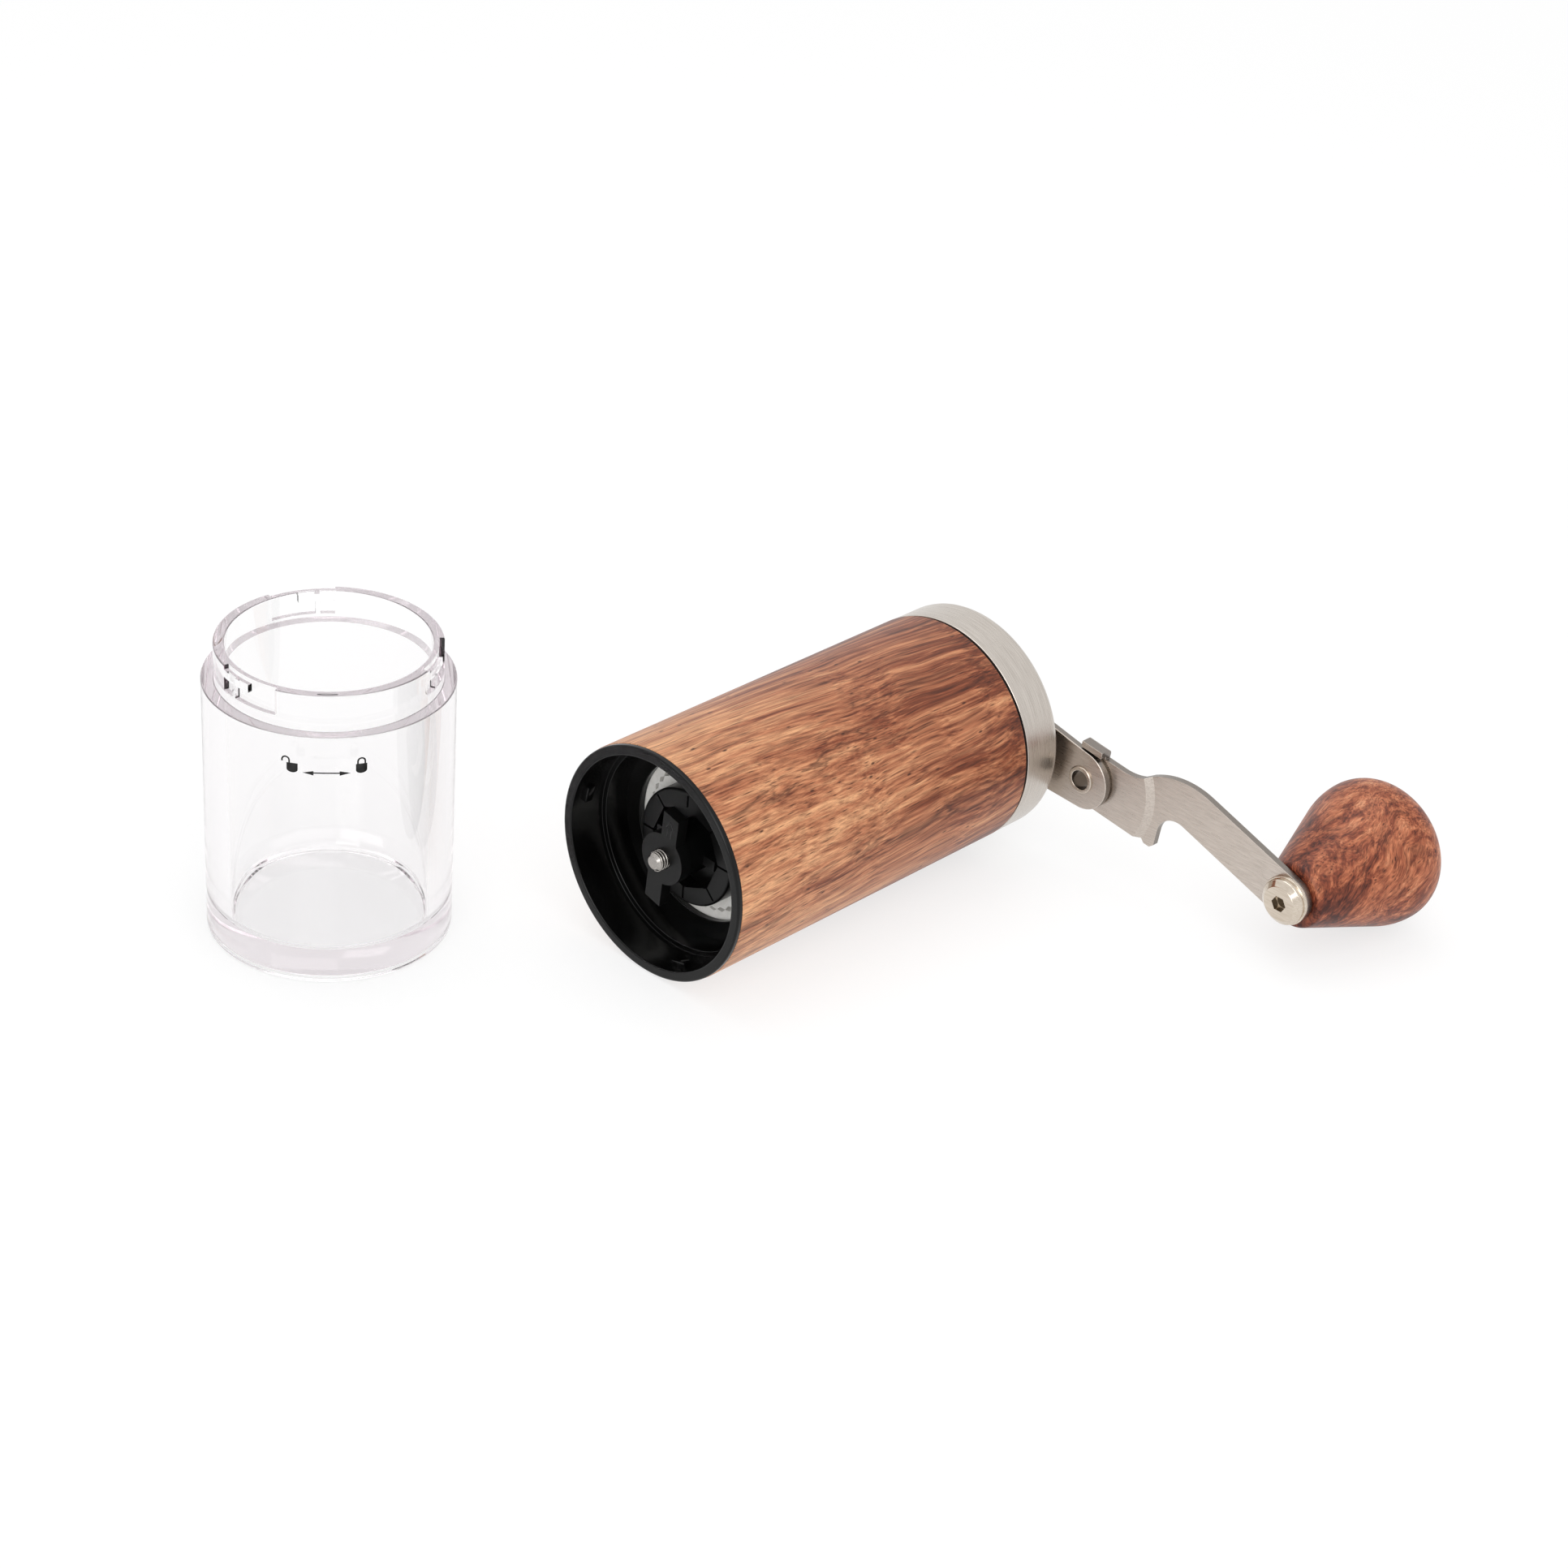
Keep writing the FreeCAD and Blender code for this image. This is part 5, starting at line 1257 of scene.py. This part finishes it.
def carved(shape, cutter):
    """The shape with the cutter's space taken out of it."""
    cut = shape.modifiers.new("carved", "BOOLEAN")
    cut.object = cutter
    cut.operation = "DIFFERENCE"
    cut.solver = "EXACT"
    cut.use_self = True
    flattened(shape)
    shape.data.shade_smooth()
    shape.data.set_sharp_from_angle(angle=math.radians(CARVED_ANGLE))
    bpy.data.objects.remove(cutter)
    return shape


screw = turned("knob_screw_head", rounded([
    (0, screw_start, 0),
    (SCREW_FACE, screw_start, FACE_EDGE),
    (SCREW_CAP, screw_start + CAP_HEIGHT, CAP_EDGE),
    (SCREW_CAP, screw_start + FLANGE_TOP, CAP_ROOT),
    (SCREW_FLANGE, screw_start + FLANGE_TOP, HEAD_EDGE),
    (SCREW_FLANGE, screw_start + HEAD_HEIGHT, HEAD_EDGE),
    (SCREW_SHANK, screw_start + HEAD_HEIGHT, 0),
    (SCREW_SHANK, 0, 0),
    (SCREW_THREAD, 0, 0),
    (SCREW_THREAD, screw_end, TIP_EDGE),
    (0, screw_end, 0),
], closed=False), KNOB_AXIS, LID_WAY, closed=False)
dress(carved(screw, hex_cutter()), "knob_set", "nickel", nickel, "knob_screw")

# %% [markdown]
# ## Recesses of the jar's neck
# The neck has three bayonet recesses, which leave tabs and posts standing for the lugs to pass and
# to stop at. The mould's slides form the real ones. Here wedge blocks of the neck's outer skin are
# gathered into one cutter, so that a single Boolean takes them all out.

# %% Recess cutter
SHOULDER = 58.4
NECK_RADIUS = 23.4
RECESS_RADIUS = 22.3
RECESS_FIRST = -192.7
RECESS_TURNS = (0, 120, 240)
RECESS_SWEEP = 36.0
TAB_SWEEP = 20.0
LEDGE, TAB_LOW, TAB_HIGH = 2.4, 5.3, 7.0
POST_START, POST_END = 8.0, 10.5
WEDGE_STEPS = 24
CLEAR_CUT = 1
OVERLAP = 0.01


def wedge(builder, low, high, start, sweep):
    """A closed block of the neck's outer skin between two heights and two angles."""
    outside = NECK_RADIUS + CLEAR_CUT
    corners = [(RECESS_RADIUS, low), (outside, low), (outside, high), (RECESS_RADIUS, high)]
    rings = []
    for step in range(WEDGE_STEPS + 1):
        angle = math.radians(start + sweep * step / WEDGE_STEPS)
        spoke = Vector((math.cos(angle), math.sin(angle), 0))
        rings.append([builder.verts.new((spoke * r + UP * h) * MM) for r, h in corners])
    for first, second in zip(rings, rings[1:]):
        for i in range(4):
            builder.faces.new((first[i], first[i - 1], second[i - 1], second[i]))
    builder.faces.new(rings[0])
    builder.faces.new(rings[-1])


def recess_cutter():
    """All the blocks that leave the tabs and posts of the bayonet standing."""
    builder = bmesh.new()
    ledge, tab_low, tab_high = (SHOULDER + rise for rise in (LEDGE, TAB_LOW, TAB_HIGH))
    top = JAR_HEIGHT + CLEAR_CUT
    for turn in RECESS_TURNS:
        start = RECESS_FIRST + turn
        wedge(builder, ledge, top, start + TAB_SWEEP, RECESS_SWEEP - TAB_SWEEP)
        wedge(builder, ledge, tab_low, start, POST_START)
        wedge(builder, ledge, tab_low, start + POST_END, TAB_SWEEP - POST_END + OVERLAP)
        wedge(builder, tab_high, top, start, TAB_SWEEP + OVERLAP)
    return object_from(builder, "recess_cutter")


print("recesses: %d of %.0f degrees" % (len(RECESS_TURNS), RECESS_SWEEP))

# %% [markdown]
# ## Jar
# Clear plastic shows every facet, so the jar is turned again with many segments and rounded edges,
# rather than kept as CAD triangles. A shallow recess under the foot leaves a ring to stand on, and
# its edge is one of the bright lines that one sees through the floor.

# %% Jar
JAR_FOOT_RADIUS = 25.7
FOOT_BORE, FOOT_RECESS = 22.6, 0.6
NECK_BORE = 21.1
FLOOR_BORE, FLOOR_HEIGHT = 20.6, 5.6
RECESS_EDGE, RING_EDGE, FOOT_EDGE = 0.3, 0.2, 0.9
SHOULDER_EDGE, NECK_ROOT, NECK_LIP, FLOOR_CORNER = 0.3, 0.2, 0.35, 2.0
jar = turned("jar_clear", rounded([
    (0, FOOT_RECESS, 0),
    (FOOT_BORE, FOOT_RECESS, RECESS_EDGE),
    (FOOT_BORE + FOOT_RECESS, 0, RING_EDGE),
    (JAR_FOOT_RADIUS, 0, FOOT_EDGE),
    (JAR_RADIUS, SHOULDER, SHOULDER_EDGE),
    (NECK_RADIUS, SHOULDER, NECK_ROOT),
    (NECK_RADIUS, JAR_HEIGHT, NECK_LIP),
    (NECK_BORE, JAR_HEIGHT, NECK_LIP),
    (FLOOR_BORE, FLOOR_HEIGHT, FLOOR_CORNER),
    (0, FLOOR_HEIGHT, 0),
], closed=False), Vector((0, 0, 0)), UP, closed=False)
dress(carved(jar, recess_cutter()), "jar", "clear_acrylic", acrylic, "jar")

# %% [markdown]
# ## Padlock sign
# A padlock is a bucket-shaped body with a round foot, and a shackle above it. The open one has its
# shackle swung to the side. The signs are drawn flat, in mm, as filled outlines and lines of even
# width, because a texture would need an image and would blur from close by.

# %% Padlock
LOCK_HALF, LOCK_TOP, LOCK_WAIST, LOCK_FOOT = 1.15, 0.9, -0.5, 0.75
LOCK_STEPS = 16
SHACKLE_RADIUS, SHACKLE_RISE, SHACKLE_LINE = 0.75, 1.45, 0.34
SHACKLE_STEPS = 14
OPEN_SHIFT, OPEN_END = 1.35, 1.1


def padlock(builder, x, y, is_open):
    """A padlock about a place: its body, and a shackle that may be swung open."""
    body = [(x - LOCK_HALF, y + LOCK_TOP), (x - LOCK_HALF, y + LOCK_WAIST)]
    body += [(x + LOCK_HALF * math.cos(a), y + LOCK_WAIST + LOCK_FOOT * math.sin(a))
             for a in [math.pi + math.pi * i / LOCK_STEPS for i in range(1, LOCK_STEPS)]]
    body += [(x + LOCK_HALF, y + LOCK_WAIST), (x + LOCK_HALF, y + LOCK_TOP)]
    patch(builder, body)
    middle = x - OPEN_SHIFT if is_open else x
    free_end = OPEN_END if is_open else LOCK_TOP
    bow = [(middle + SHACKLE_RADIUS * math.cos(a), y + SHACKLE_RISE + SHACKLE_RADIUS * math.sin(a))
           for a in [math.pi * i / SHACKLE_STEPS for i in range(SHACKLE_STEPS + 1)]]
    fixed_leg = [(middle + SHACKLE_RADIUS, y + LOCK_TOP)]
    free_leg = [(middle - SHACKLE_RADIUS, y + free_end)]
    stroke(builder, fixed_leg + bow + free_leg, SHACKLE_LINE)


print("padlock: %.1f mm wide" % (2 * LOCK_HALF))

# %% [markdown]
# ## Marks on the jar
# An open padlock, a double arrow and a closed padlock show which way the jar turns. The flat drawing
# is bent onto the jar's wall point by point and given the thickness of a print. A Shrinkwrap
# modifier could lay it there, but the wall is a plain cone, so its place can be worked out.

# %% Lock marks
FRONT = math.radians(-129.20)
MARK_HEIGHT = 51.3
INK_LIFT = 0.03
INK_THICKNESS = 0.02
OPEN_LOCK, CLOSED_LOCK = -7.6, 6.3
ARROW_HEIGHT, ARROW_LINE = -1.0, 0.3
ARROW_SHAFT = (-4.6, 3.2)
ARROW_TIPS = ((-5.5, 1), (4.1, -1))
ARROW_HEAD, ARROW_HALF = 2.2, 0.5


def on_wall(x, y):
    """A point of a flat mark, in mm, laid on the jar's wall."""
    height = MARK_HEIGHT + y
    wall = JAR_FOOT_RADIUS + (JAR_RADIUS - JAR_FOOT_RADIUS) * height / SHOULDER + INK_LIFT
    angle = FRONT + x / wall
    return Vector((math.cos(angle) * wall, math.sin(angle) * wall, height)) * MM


def lock_marks():
    """The three marks as one print."""
    builder = bmesh.new()
    padlock(builder, OPEN_LOCK, 0, True)
    padlock(builder, CLOSED_LOCK, 0, False)
    stroke(builder, [(x, ARROW_HEIGHT) for x in ARROW_SHAFT], ARROW_LINE)
    for tip, way in ARROW_TIPS:
        back = tip + ARROW_HEAD * way
        patch(builder, [(tip, ARROW_HEIGHT), (back, ARROW_HEIGHT + ARROW_HALF),
                        (back, ARROW_HEIGHT - ARROW_HALF)])
    bmesh.ops.triangulate(builder, faces=builder.faces)
    for vert in builder.verts:
        vert.co = on_wall(vert.co.x, vert.co.y)
    return object_from(builder, "lock_marks")


marks = lock_marks()
thick = marks.modifiers.new("ink", "SOLIDIFY")
thick.thickness = INK_THICKNESS * MM
dress(flattened(marks), "jar", "clear_acrylic", ink)

# %% [markdown]
# ## Finishes on the CAD solids that stay
# The burrs keep their CAD teeth, and the pieces that are hidden inside keep their CAD shapes, since
# nothing would be gained by drawing them again. Each gets the finish of what it is made of.

# %% Remaining solids
STAY = {
    satin_black: ("hopper_tube", "burr_bridge", "top_bridge", "lid_insert"),
    acetal: ("lower_bush", "upper_bush", "hinge_washer"),
    ceramic: ("outer_burr", "inner_burr"),
    turned_steel: ("thrust_washer", "shaft_circlip", "spring_washer"),
    brass: ("adjuster_nut", "knob_insert"),
    rubber: ("lid_seal",),
}
for material, nodes in STAY.items():
    for node in nodes:
        slots = NODES[node].data.materials
        slots.clear()
        slots.append(material)
print("solids kept:", sum(len(nodes) for nodes in STAY.values()))
